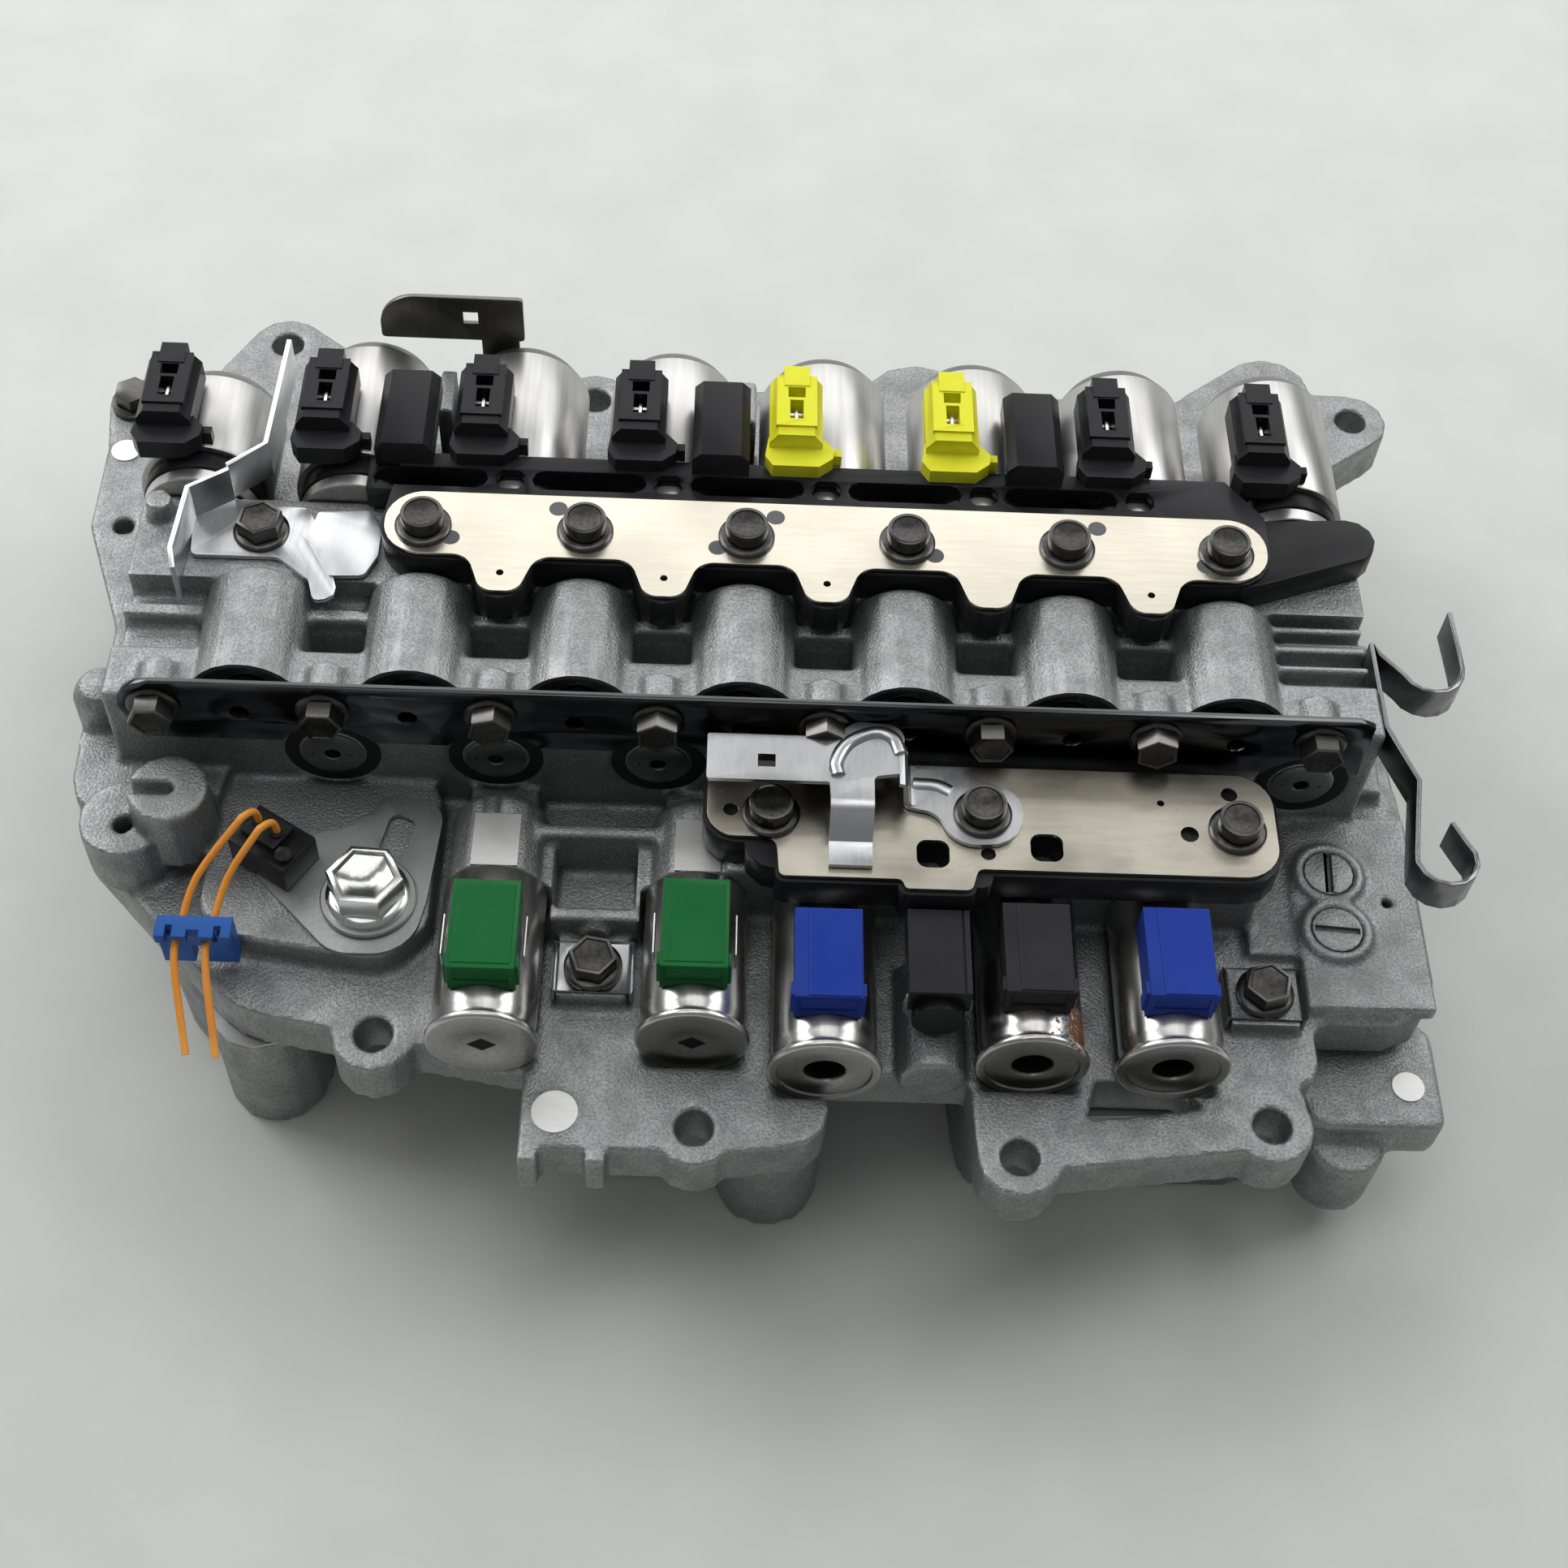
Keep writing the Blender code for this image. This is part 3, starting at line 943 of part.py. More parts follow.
def slotted_plugs():
    top = RIGHT_DECK_H + SCREW_RISE
    for number, (x, y) in enumerate(PLUG_SPOTS, 1):
        slot = box(-0.0055, 0.0055, -0.0008, 0.0008, top - 0.0010, top + EMBED)
        slot = turned(slot, (x, y, 0), 12 * number)
        build(f"slotted_plug_{number}", ZINC, [rod(SCREW_R, SCREW_SEAT + GAP, top, (x, y, 0), 16)], [slot])


# Switch, sensor and wires

def centre_switch():
    """Small switch between the valves, with its round snout."""
    low, high = DECK_H + 0.0100, VALVE_TOP + 0.0057
    adds = [box(0.0400, 0.0545, -0.1070, -0.0925, low, high),
            rod(0.0062, -0.1175, -0.1050, (0.0470, 0, low + 0.0067), 12, "Y"),
            box(0.0425, 0.0515, -0.1160, -0.1000, low + 0.0003, low + 0.0055)]
    build("centre_switch", BLACK, adds)


def sensor_group():
    """Three-lobed sheet bracket, the large bolt on it and the sensor on its left arm."""
    seat = SENSOR_SEAT
    x, y = SENSOR_BOLT
    hub = (x, y, 0.0125)
    adds = [prism(arm(hub, (x + 0.0090, y + 0.0200, 0.0068)), seat, seat + THIN),
            prism(arm(hub, (x - 0.0240, y + 0.0140, 0.0075)), seat, seat + THIN)]
    slot = prism(rounded(x + 0.0078, y + 0.0160, 0.0050, 0.0100, 0.0024), seat - EMBED, seat + 2 * THIN)
    bore = rod(SHANK_R + GAP, seat - EMBED, seat + 2 * THIN, (x, y, 0), 8)
    build("sensor_bracket", STEEL, adds, [slot, bore])
    head = (x, y, seat + THIN + GAP)
    build("sensor_bolt", ZINC, [rod(0.0108, 0, 0.0014, head, 20),
                                rod(SHANK_R, -SHANK_L + EMBED, EMBED, head, 8),
                                rod(0.0084, EMBED, 0.0030, head, 20),
                                rod(0.0074, 0.0020, 0.0090, head, 6)],
          [rod(0.0042, 0.0065, 0.0100, head, 12)])
    sensor = [box(-0.0085, 0.0085, -0.0060, 0.0060, 0, 0.0085),
              box(-0.0065, 0.0035, -0.0030, 0.0045, 0.0080, SENSOR_TOP),
              rod(0.0022, 0.0080, 0.0100, (0.0060, -0.0025, 0), 8)]
    build("temperature_sensor", BLACK, [turned(shape, SENSOR_PLACE, SENSOR_TURN) for shape in sensor])


def wire_path(start, end, offset):
    """Rises from the sensor, arches over to the holder and hangs down to its bare end."""
    exit_point = turned(([(*start, SENSOR_TOP + GAP)], []), SENSOR_PLACE, SENSOR_TURN)[0][0]
    top = Vector(exit_point)
    hold = Vector(HOLDER_PLACE) + Vector((offset, 0.0, 0.0050))
    rise = top + Vector((-0.0008, -0.0012, 0.0062))
    lead = hold + Vector((0.0030, 0.0110, 0.0060))
    past = hold + Vector((-0.0005, -0.0080, -0.0015))
    hang = Vector((*end, HOLDER_PLACE[2] - 0.0060))
    return smooth_path([top, top + Vector((0.0, 0.0, 0.0030)), rise, lead, hold, past, hang], 3)


def smooth_path(knots, steps):
    """Points on a curve that passes through every knot."""
    padded = [2 * knots[0] - knots[1]] + knots + [2 * knots[-1] - knots[-2]]
    points = []
    for a, b, c, d in zip(padded, padded[1:], padded[2:], padded[3:]):
        for k in range(steps):
            t = k / steps
            point = 0.5 * (2 * b + (c - a) * t + (2 * a - 5 * b + 4 * c - d) * t * t
                           + (3 * b - a - 3 * c + d) * t * t * t)
            points.append(point)
    return points + [knots[-1]]


def wires():
    offsets = (-WIRE_APART, WIRE_APART)
    for number, (start, end, offset) in enumerate(zip(WIRE_EXITS, WIRE_ENDS, offsets), 1):
        curve = bpy.data.curves.new(f"sensor_wire_{number}", "CURVE")
        curve.dimensions = "3D"
        curve.bevel_depth = WIRE_D / 2
        curve.bevel_resolution = 2
        curve.use_fill_caps = True
        points = wire_path(start, end, offset)
        spline = curve.splines.new("POLY")
        spline.points.add(len(points) - 1)
        for slot, point in zip(spline.points, points):
            slot.co = (*point, 1.0)
        wire = bpy.data.objects.new(curve.name, curve)
        bpy.context.scene.collection.objects.link(wire)
        paint(wire, ORANGE)


def wire_holder():
    """Blue comb that keeps the two wires apart."""
    slot = WIRE_D / 2 + GAP + 0.0002
    adds = [box(-0.0088, 0.0088, -0.0018, 0.0018, -0.0060, 0.0085),
            box(-0.0088, 0.0088, -0.0040, -0.0010, 0.0055, 0.0085)]
    cuts = [box(x - slot, x + slot, -0.0100, 0.0100, 0.0030, 0.0070) for x in (-WIRE_APART, WIRE_APART)]
    cuts += [box(-0.0014, 0.0014, -0.0100, 0.0100, -0.0070, 0.0010)]
    build("wire_holder", BLUE, [turned(shape, HOLDER_PLACE, 0) for shape in adds],
          [turned(shape, HOLDER_PLACE, 0) for shape in cuts])


def recentre():
    """Puts the middle of the whole box over the origin, with the floor at zero."""
    bpy.context.view_layer.update()
    shown = [thing for thing in bpy.context.scene.objects if not thing.hide_render]
    corners = [thing.matrix_world @ Vector(corner) for thing in shown for corner in thing.bound_box]
    middle_x = (min(c.x for c in corners) + max(c.x for c in corners)) / 2
    middle_y = (min(c.y for c in corners) + max(c.y for c in corners)) / 2
    for thing in bpy.context.scene.objects:
        if thing.parent is None:
            thing.location -= Vector((middle_x, middle_y, 0.0))


for leftover in list(bpy.data.objects):
    bpy.data.objects.remove(leftover)
upper_body()
separator_plate()
lower_body()
rear_solenoids()
upper_housing()
upper_plate()
retaining_plate()
pistons()
front_solenoids()
lower_housing()
lower_plate()
clip_bracket()
retaining_clips()
left_bracket()
rear_tab_bracket()
rear_bolt()
hook_bracket()
slotted_plugs()
centre_switch()
sensor_group()
wires()
wire_holder()
recentre()
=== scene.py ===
import bpy
import bmesh
from math import cos, pi, radians, sin, tan
from mathutils import Matrix, Vector


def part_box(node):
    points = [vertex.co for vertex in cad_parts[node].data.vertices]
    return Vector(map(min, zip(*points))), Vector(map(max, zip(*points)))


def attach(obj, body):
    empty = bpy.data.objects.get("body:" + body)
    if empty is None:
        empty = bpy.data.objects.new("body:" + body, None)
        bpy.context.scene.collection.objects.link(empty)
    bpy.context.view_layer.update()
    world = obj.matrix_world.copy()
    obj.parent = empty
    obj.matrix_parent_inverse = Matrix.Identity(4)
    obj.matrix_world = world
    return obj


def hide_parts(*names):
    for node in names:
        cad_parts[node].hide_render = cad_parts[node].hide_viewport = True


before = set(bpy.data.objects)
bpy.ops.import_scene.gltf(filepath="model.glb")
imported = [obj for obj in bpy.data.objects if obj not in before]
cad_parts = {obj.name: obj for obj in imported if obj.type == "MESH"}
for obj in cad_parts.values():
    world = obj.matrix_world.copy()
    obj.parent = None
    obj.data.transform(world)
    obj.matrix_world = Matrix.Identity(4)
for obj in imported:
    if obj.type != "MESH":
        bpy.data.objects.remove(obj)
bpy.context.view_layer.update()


# Camera
# The photograph looks down on the unit from in front, a little turned and rolled.
# Its place and its focal length come from a fit to the bolt rows.
CAMERA_AT = Vector((-0.00995, -0.364132, 0.52723))
TILT, TURN, ROLL = radians(54.3), radians(3.17), radians(4.43)


def unturned(x, y, z):
    """A direction of the turned camera, in the object's own axes."""
    return Vector((cos(TURN) * x + sin(TURN) * y, -sin(TURN) * x + cos(TURN) * y, z))


right, ahead = unturned(1, 0, 0), unturned(0, cos(TILT), -sin(TILT))
upward = unturned(0, sin(TILT), cos(TILT))
side = right * cos(ROLL) + upward * sin(ROLL)
top = upward * cos(ROLL) - right * sin(ROLL)
lens = bpy.data.cameras.new("camera")
lens.sensor_width = 36.0
lens.lens = 52.17
camera = bpy.data.objects.new("camera", lens)
bpy.context.scene.collection.objects.link(camera)
camera.matrix_world = Matrix.Translation(CAMERA_AT) @ Matrix((side, top, -ahead)).transposed().to_4x4()
bpy.context.scene.camera = camera


# Sensor wires and their comb
# Two insulated leads leave the temperature sensor, pass through a slotted blue comb and end bare.
# They are thin and limp, 1.8 mm over the sleeve, and follow the route of the solid model.

WIRE_DIAMETER = 0.0018
BEND = 0.0042
WIRE_ROUTES = {
    "sensor_wire_1": ((-0.11751, -0.05570, 0.0753), (-0.12980, -0.07200, 0.0750), (-0.13280, -0.08300, 0.0695),
                      (-0.13330, -0.09100, 0.0675), (-0.12920, -0.11000, 0.0580)),
    "sensor_wire_2": ((-0.11285, -0.05862, 0.0753), (-0.12260, -0.07200, 0.0750), (-0.12560, -0.08300, 0.0695),
                      (-0.12610, -0.09100, 0.0675), (-0.12220, -0.11050, 0.0580))}


def wire_knots(route):
    """Up out of the sensor, round a bend of a few diameters, and on along the route."""
    start, following = Vector(route[0]), Vector(route[1])
    heading = following - start
    heading.z = 0.0
    heading.normalize()
    knots = [start, start + Vector((0, 0, 0.0012))]
    for degrees in (30, 60, 90, 112):
        forth, up = BEND * (1 - cos(radians(degrees))), BEND * sin(radians(degrees))
        knots.append(start + heading * forth + Vector((0, 0, 0.0020 + up)))
    return knots + [Vector(knot) for knot in route[1:]]


def smooth_route(knots, steps):
    """Points on a curve that passes through every knot."""
    knots = [Vector(knot) for knot in knots]
    padded = [2 * knots[0] - knots[1]] + knots + [2 * knots[-1] - knots[-2]]
    points = []
    for a, b, c, d in zip(padded, padded[1:], padded[2:], padded[3:]):
        for k in range(steps):
            t = k / steps
            points.append(0.5 * (2 * b + (c - a) * t + (2 * a - 5 * b + 4 * c - d) * t * t
                                 + (3 * b - a - 3 * c + d) * t * t * t))
    return points + [knots[-1]]


def link(piece):
    """Puts a new object in the scene."""
    bpy.context.scene.collection.objects.link(piece)
    return piece


def surface_marks():
    """Shared shader group: a mottle, a fine grain, the edges and the hollows, all in the piece's own space; the
    hollows mask serves painted shade.
    """
    group = bpy.data.node_groups.new("surface_marks", "ShaderNodeTree")
    for label, kind, value in (("Mottle Scale", "NodeSocketFloat", 90.0),
                               ("Fine Scale", "NodeSocketFloat", 2600.0),
                               ("Stretch", "NodeSocketVector", (1.0, 1.0, 1.0))):
        group.interface.new_socket(label, in_out="INPUT", socket_type=kind).default_value = value
    for label in ("Mottle", "Fine", "Edge", "Hollow Shade"):
        group.interface.new_socket(label, in_out="OUTPUT", socket_type="NodeSocketFloat")
    given, result = group.nodes.new("NodeGroupInput"), group.nodes.new("NodeGroupOutput")
    place = group.nodes.new("ShaderNodeTexCoord")
    stretched = group.nodes.new("ShaderNodeVectorMath")
    stretched.operation = "MULTIPLY"
    group.links.new(place.outputs["Object"], stretched.inputs[0])
    group.links.new(given.outputs["Stretch"], stretched.inputs[1])
    for source, scale, detail, label in ((place.outputs["Object"], "Mottle Scale", 5.0, "Mottle"),
                                         (stretched.outputs["Vector"], "Fine Scale", 3.0, "Fine")):
        texture = group.nodes.new("ShaderNodeTexNoise")
        texture.inputs["Detail"].default_value = detail
        group.links.new(source, texture.inputs["Vector"])
        group.links.new(given.outputs[scale], texture.inputs["Scale"])
        group.links.new(texture.outputs["Fac"], result.inputs[label])
    shape = group.nodes.new("ShaderNodeNewGeometry")
    for label, start, end in (("Edge", 0.515, 0.58), ("Hollow Shade", 0.485, 0.42)):
        mask = group.nodes.new("ShaderNodeMapRange")
        mask.inputs["From Min"].default_value = start
        mask.inputs["From Max"].default_value = end
        group.links.new(shape.outputs["Pointiness"], mask.inputs["Value"])
        group.links.new(mask.outputs["Result"], result.inputs[label])
    return group


MARKS = surface_marks()


def new_material(name, colour, metallic, roughness, mottle=90.0, fine=2600.0, stretch=(1.0, 1.0, 1.0)):
    """A material with its Principled shader and the marks that its texture starts from."""
    material = bpy.data.materials.new(name)
    material.use_nodes = True
    tree = material.node_tree
    shader = tree.nodes["Principled BSDF"]
    shader.inputs["Base Color"].default_value = (*colour, 1.0)
    shader.inputs["Metallic"].default_value = metallic
    shader.inputs["Roughness"].default_value = roughness
    marks = tree.nodes.new("ShaderNodeGroup")
    marks.node_tree = MARKS
    marks.inputs["Mottle Scale"].default_value = mottle
    marks.inputs["Fine Scale"].default_value = fine
    marks.inputs["Stretch"].default_value = stretch
    return material, tree, shader, marks.outputs


def spread(tree, source, low, high, start=0.3, end=0.7):
    """Spreads a mask between two values over part of its range."""
    node = tree.nodes.new("ShaderNodeMapRange")
    for label, value in (("From Min", start), ("From Max", end), ("To Min", low), ("To Max", high)):
        node.inputs[label].default_value = value
    tree.links.new(source, node.inputs["Value"])
    return node.outputs["Result"]


def mixed(tree, mask, first, second):
    """Blends two colours by a mask."""
    mix = tree.nodes.new("ShaderNodeMix")
    mix.data_type = "RGBA"
    for socket, colour in ((mix.inputs[6], first), (mix.inputs[7], second)):
        if isinstance(colour, tuple):
            socket.default_value = (*colour, 1.0)
        else:
            tree.links.new(colour, socket)
    tree.links.new(mask, mix.inputs[0])
    return mix.outputs[2]


def roughen(tree, shader, height, distance, strength=1.0):
    """Raises a mask as a fine relief of the surface."""
    bump = tree.nodes.new("ShaderNodeBump")
    bump.inputs["Distance"].default_value = distance
    bump.inputs["Strength"].default_value = strength
    tree.links.new(height, bump.inputs["Height"])
    tree.links.new(bump.outputs["Normal"], shader.inputs["Normal"])


def moulding(name, colour, lighter, roughness, grain=0.00004):
    """Moulded plastic: a faint mottle in colour and gloss, paler rubbed edges and a fine grain."""
    material, tree, shader, marks = new_material(name, colour, 0.0, roughness)
    tone = mixed(tree, spread(tree, marks["Mottle"], 0.0, 1.0), colour, lighter)
    rubbed = tuple(min(1.0, 1.5 * value + 0.02) for value in lighter)
    tone = mixed(tree, spread(tree, marks["Edge"], 0.0, 0.55, 0.0, 1.0), tone, rubbed)
    tree.links.new(tone, shader.inputs["Base Color"])
    tree.links.new(spread(tree, marks["Mottle"], roughness - 0.04, roughness + 0.04),
                   shader.inputs["Roughness"])
    shader.inputs["Specular IOR Level"].default_value = 0.12
    roughen(tree, shader, marks["Fine"], grain)
    return material


def fresh_copy(node):
    """A merged copy of a CAD node's mesh, as a new object at the origin."""
    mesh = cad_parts[node].data.copy()
    work = bmesh.new()
    work.from_mesh(mesh)
    bmesh.ops.remove_doubles(work, verts=work.verts, dist=1e-6)
    work.to_mesh(mesh)
    work.free()
    mesh.materials.clear()
    return link(bpy.data.objects.new(node + "_finished", mesh))


def settle(piece):
    """Turns a piece's modifiers into plain mesh."""
    shown = piece.evaluated_get(bpy.context.evaluated_depsgraph_get())
    mesh = bpy.data.meshes.new_from_object(shown)
    piece.modifiers.clear()
    old = piece.data
    piece.data = mesh
    bpy.data.meshes.remove(old)
    return piece


def finish_as(piece, material, slot, *nodes, body="unit"):
    """Gives a piece its finish and body, and hides the CAD nodes that it stands for."""
    if not piece.data.materials:
        piece.data.materials.append(material)
    if nodes:
        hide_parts(*nodes)
    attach(piece, body)
    return piece


def mesh_piece(name, vertices, faces):
    """A new piece from its points and faces, with outward normals."""
    mesh = bpy.data.meshes.new(name)
    mesh.from_pydata(vertices, [], faces)
    work = bmesh.new()
    work.from_mesh(mesh)
    bmesh.ops.recalc_face_normals(work, faces=work.faces)
    work.to_mesh(mesh)
    work.free()
    return link(bpy.data.objects.new(name, mesh))


def flat_box(low, high):
    """Corners and faces of a plain block, for building up larger pieces."""
    (x0, y0, z0), (x1, y1, z1) = low, high
    corners = [(x, y, z) for z in (z0, z1) for x, y in ((x0, y0), (x1, y0), (x1, y1), (x0, y1))]
    return corners, [(3, 2, 1, 0), (4, 5, 6, 7), (0, 1, 5, 4), (1, 2, 6, 5), (2, 3, 7, 6), (3, 0, 4, 7)]


def gathered(shapes):
    """Several closed shapes as one list of points and faces."""
    points, faces = [], []
    for vertices, sides in shapes:
        faces += [tuple(index + len(points) for index in face) for face in sides]
        points += vertices
    return points, faces


def pierced(piece, cuts, self_crossing=False):
    """Cuts closed shapes out of a piece by an exact Boolean."""
    cutter = mesh_piece(piece.name + "_cutter", *gathered(cuts))
    window = piece.modifiers.new("window", "BOOLEAN")
    window.object = cutter
    window.solver = "EXACT"
    window.use_self = self_crossing
    settle(piece)
    bpy.data.objects.remove(cutter)
    return piece


def eased(piece, width, steps=2, angle=30.0):
    """Breaks a piece's sharp edges with a small round."""
    bevel = piece.modifiers.new("edge", "BEVEL")
    bevel.width = width
    bevel.segments = steps
    bevel.limit_method = "ANGLE"
    bevel.angle_limit = radians(angle)
    bevel.harden_normals = True
    piece.data.shade_smooth()
    return settle(piece)


def softened(node, width, angle=30.0, steps=2, cuts=()):
    """A copy of a node, cut if asked, whose sharp edges are broken by a small round."""
    piece = fresh_copy(node)
    work = bmesh.new()
    work.from_mesh(piece.data)
    bmesh.ops.dissolve_limit(work, angle_limit=radians(0.5), verts=work.verts, edges=work.edges)
    work.to_mesh(piece.data)
    work.free()
    if cuts:
        pierced(piece, cuts)
    return eased(piece, width, steps, angle)


def round_bar(name, radius, resolution, points):
    """A curve with capped ends that draws a round bar along the points."""
    curve = bpy.data.curves.new(name, "CURVE")
    curve.dimensions = "3D"
    curve.bevel_depth = radius
    curve.bevel_resolution = resolution
    curve.use_fill_caps = True
    spline = curve.splines.new("POLY")
    spline.points.add(len(points) - 1)
    for place, point in zip(spline.points, points):
        place.co = (*point, 1.0)
    spline.use_smooth = True
    return curve


holder_plastic = moulding("holder_plastic", (0.012, 0.065, 0.26), (0.016, 0.085, 0.32), 0.42)
comb_low, comb_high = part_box("wire_holder")
# Each slot: its place across the comb, its width and how far it reaches, the first and last as shares.
COMB_SLOTS = ((0.18, 0.0016, 0.55), (0.50, 0.0030, 0.35), (0.82, 0.0016, 0.55))
comb_slots = []
for share, width, depth in COMB_SLOTS:
    middle = comb_low[0] + share * (comb_high[0] - comb_low[0])
    comb_slots.append(flat_box((middle - width / 2, comb_low[1] - 0.001, comb_high[2] - 0.0030),
                               (middle + width / 2, comb_low[1] + depth * (comb_high[1] - comb_low[1]),
                                comb_high[2] + 0.0010)))
comb = finish_as(softened("wire_holder", 0.0003, cuts=comb_slots), holder_plastic, "blue_holder", "wire_holder")
wire_sleeve = moulding("wire_sleeve", (0.80, 0.25, 0.03), (0.86, 0.33, 0.06), 0.42)
for name, route in WIRE_ROUTES.items():
    points = smooth_route(wire_knots(route), 4)
    curve = round_bar(name + "_lead", WIRE_DIAMETER / 2, 6, points)
    curve.materials.append(wire_sleeve)
    lead = link(bpy.data.objects.new(name + "_lead", curve))
    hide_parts(name)
    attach(lead, "unit")


# Castings
# Two aluminium die castings, bolted on either side of a steel separator plate.
# The skin is as cast: rounded edges, soft fillets, a sparkling grain and paler edges, with painted shade
# darkening the hollows.
# The damper bores and the open front of each boss are machined after casting.

BORE_R, BORE_REST = 0.0058, 0.0086  # bore of a damper piston, and its length behind the piston
MOUTH_R, MOUTH_DEPTH = 0.0142, 0.0042  # open front of a boss, measured from the piston's face
RECESS_R, RECESS_DEPTH = 0.0123, 0.0075  # narrower step behind the mouth


def cast(node, voxel, passes, most):
    """Rounds a solid as a mould does: fine voxels, a light smoothing, then fewer faces."""
    piece = fresh_copy(node)
    grid = piece.modifiers.new("grid", "REMESH")
    grid.mode = "VOXEL"
    grid.voxel_size = voxel
    grid.use_smooth_shade = True
    soft = piece.modifiers.new("soft", "SMOOTH")
    soft.factor = 0.5
    soft.iterations = passes
    settle(piece)
    count = sum(len(face.vertices) - 2 for face in piece.data.polygons)
    thin = piece.modifiers.new("thin", "DECIMATE")
    thin.ratio = min(1.0, most / count)
    settle(piece)
    piece.data.shade_smooth()
    return piece


def slab(outline, low, high):
    """A flat outline raised from one height to another."""
    count = len(outline)
    points = [(x, y, low) for x, y in outline] + [(x, y, high) for x, y in outline]
    sides = [(i, (i + 1) % count, (i + 1) % count + count, i + count) for i in range(count)]
    return points, sides + [tuple(range(count - 1, -1, -1)), tuple(range(count, 2 * count))]


def along_y(section, near, far):
    """A section in x and z, drawn out along y."""
    points, faces = slab(section, near, far)
    return [(x, y, z) for x, z, y in points], faces


def arc(x, z, radius, count, half_turn):
    """Points along a circle, half_turn of them to each half."""
    return [(x + radius * cos(k * pi / half_turn), z + radius * sin(k * pi / half_turn)) for k in range(count)]


def cast_aluminium():
    """Raw aluminium: a sparkling grain in colour and relief, hollows darkened as painted shade, and paler worn
    edges.
    """
    material, tree, shader, marks = new_material("cast_aluminium", (0.30, 0.31, 0.31), 0.85, 0.5, 130.0, 1500.0)
    tone = mixed(tree, spread(tree, marks["Fine"], 0.0, 1.0, 0.35, 0.65), (0.25, 0.257, 0.257),
                 (0.40, 0.41, 0.41))
    tone = mixed(tree, spread(tree, marks["Mottle"], 0.0, 0.4, 0.4, 0.75), tone, (0.19, 0.195, 0.195))
    tone = mixed(tree, spread(tree, marks["Edge"], 0.0, 0.7, 0.0, 1.0), tone, (0.50, 0.51, 0.51))
    # Painted shade: the hollows darken nearly to black.
    tone = mixed(tree, spread(tree, marks["Hollow Shade"], 0.0, 0.75, 0.0, 1.0), tone, (0.05, 0.052, 0.052))
    tree.links.new(tone, shader.inputs["Base Color"])
    tree.links.new(spread(tree, marks["Mottle"], 0.40, 0.60), shader.inputs["Roughness"])
    roughen(tree, shader, marks["Fine"], 0.00030, 0.9)
    return material


cast_metal = cast_aluminium()
bores, mouths, recesses = [], [], []
for number in range(1, 8):
    low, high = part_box(f"damper_piston_{number}")
    axis_x, axis_z = (low[0] + high[0]) / 2, (low[2] + high[2]) / 2
    bores.append(along_y(arc(axis_x, axis_z, BORE_R, 32, 16), low[1] - 0.0030, high[1] + BORE_REST))
    mouths.append(along_y(arc(axis_x, axis_z, MOUTH_R, 25, 24), low[1] - 0.0020, low[1] + MOUTH_DEPTH))
    recesses.append(along_y(arc(axis_x, axis_z, RECESS_R, 25, 24), low[1] + 0.0030, low[1] + RECESS_DEPTH))
upper_casting = cast("upper_body", 0.0009, 2, 180000)
for machined in (mouths, recesses, bores):
    pierced(upper_casting, machined)
    upper_casting.data.set_sharp_from_angle(angle=radians(60))
finish_as(upper_casting, cast_metal, "cast_aluminium", "upper_body")
finish_as(cast("lower_body", 0.0014, 2, 70000), cast_metal, "cast_aluminium", "lower_body")


# Machined spots
# Small flats on the castings, milled or pressed bright: the ejector pads, and the tops of the two
# domes that hold the green valves.

def drawn_metal(name, colour, darker, roughness, stretch, depth=0.00002, mottle=55.0, fine=900.0):
    """Metal drawn, rolled or milled in one direction: fine streaks, dull patches and bright edges."""
    material, tree, shader, marks = new_material(name, colour, 1.0, roughness, mottle, fine, stretch)
    tone = mixed(tree, spread(tree, marks["Fine"], 0.0, 1.0), colour, darker)
    tone = mixed(tree, spread(tree, marks["Mottle"], 0.0, 0.6, 0.5, 0.8), tone, darker)
    tone = mixed(tree, spread(tree, marks["Edge"], 0.0, 0.6, 0.0, 1.0), tone,
                 tuple(min(1.0, 1.35 * value + 0.05) for value in colour))
    tree.links.new(tone, shader.inputs["Base Color"])
    tree.links.new(spread(tree, marks["Mottle"], roughness - 0.05, roughness + 0.10),
                   shader.inputs["Roughness"])
    roughen(tree, shader, marks["Fine"], depth, 0.6)
    return material


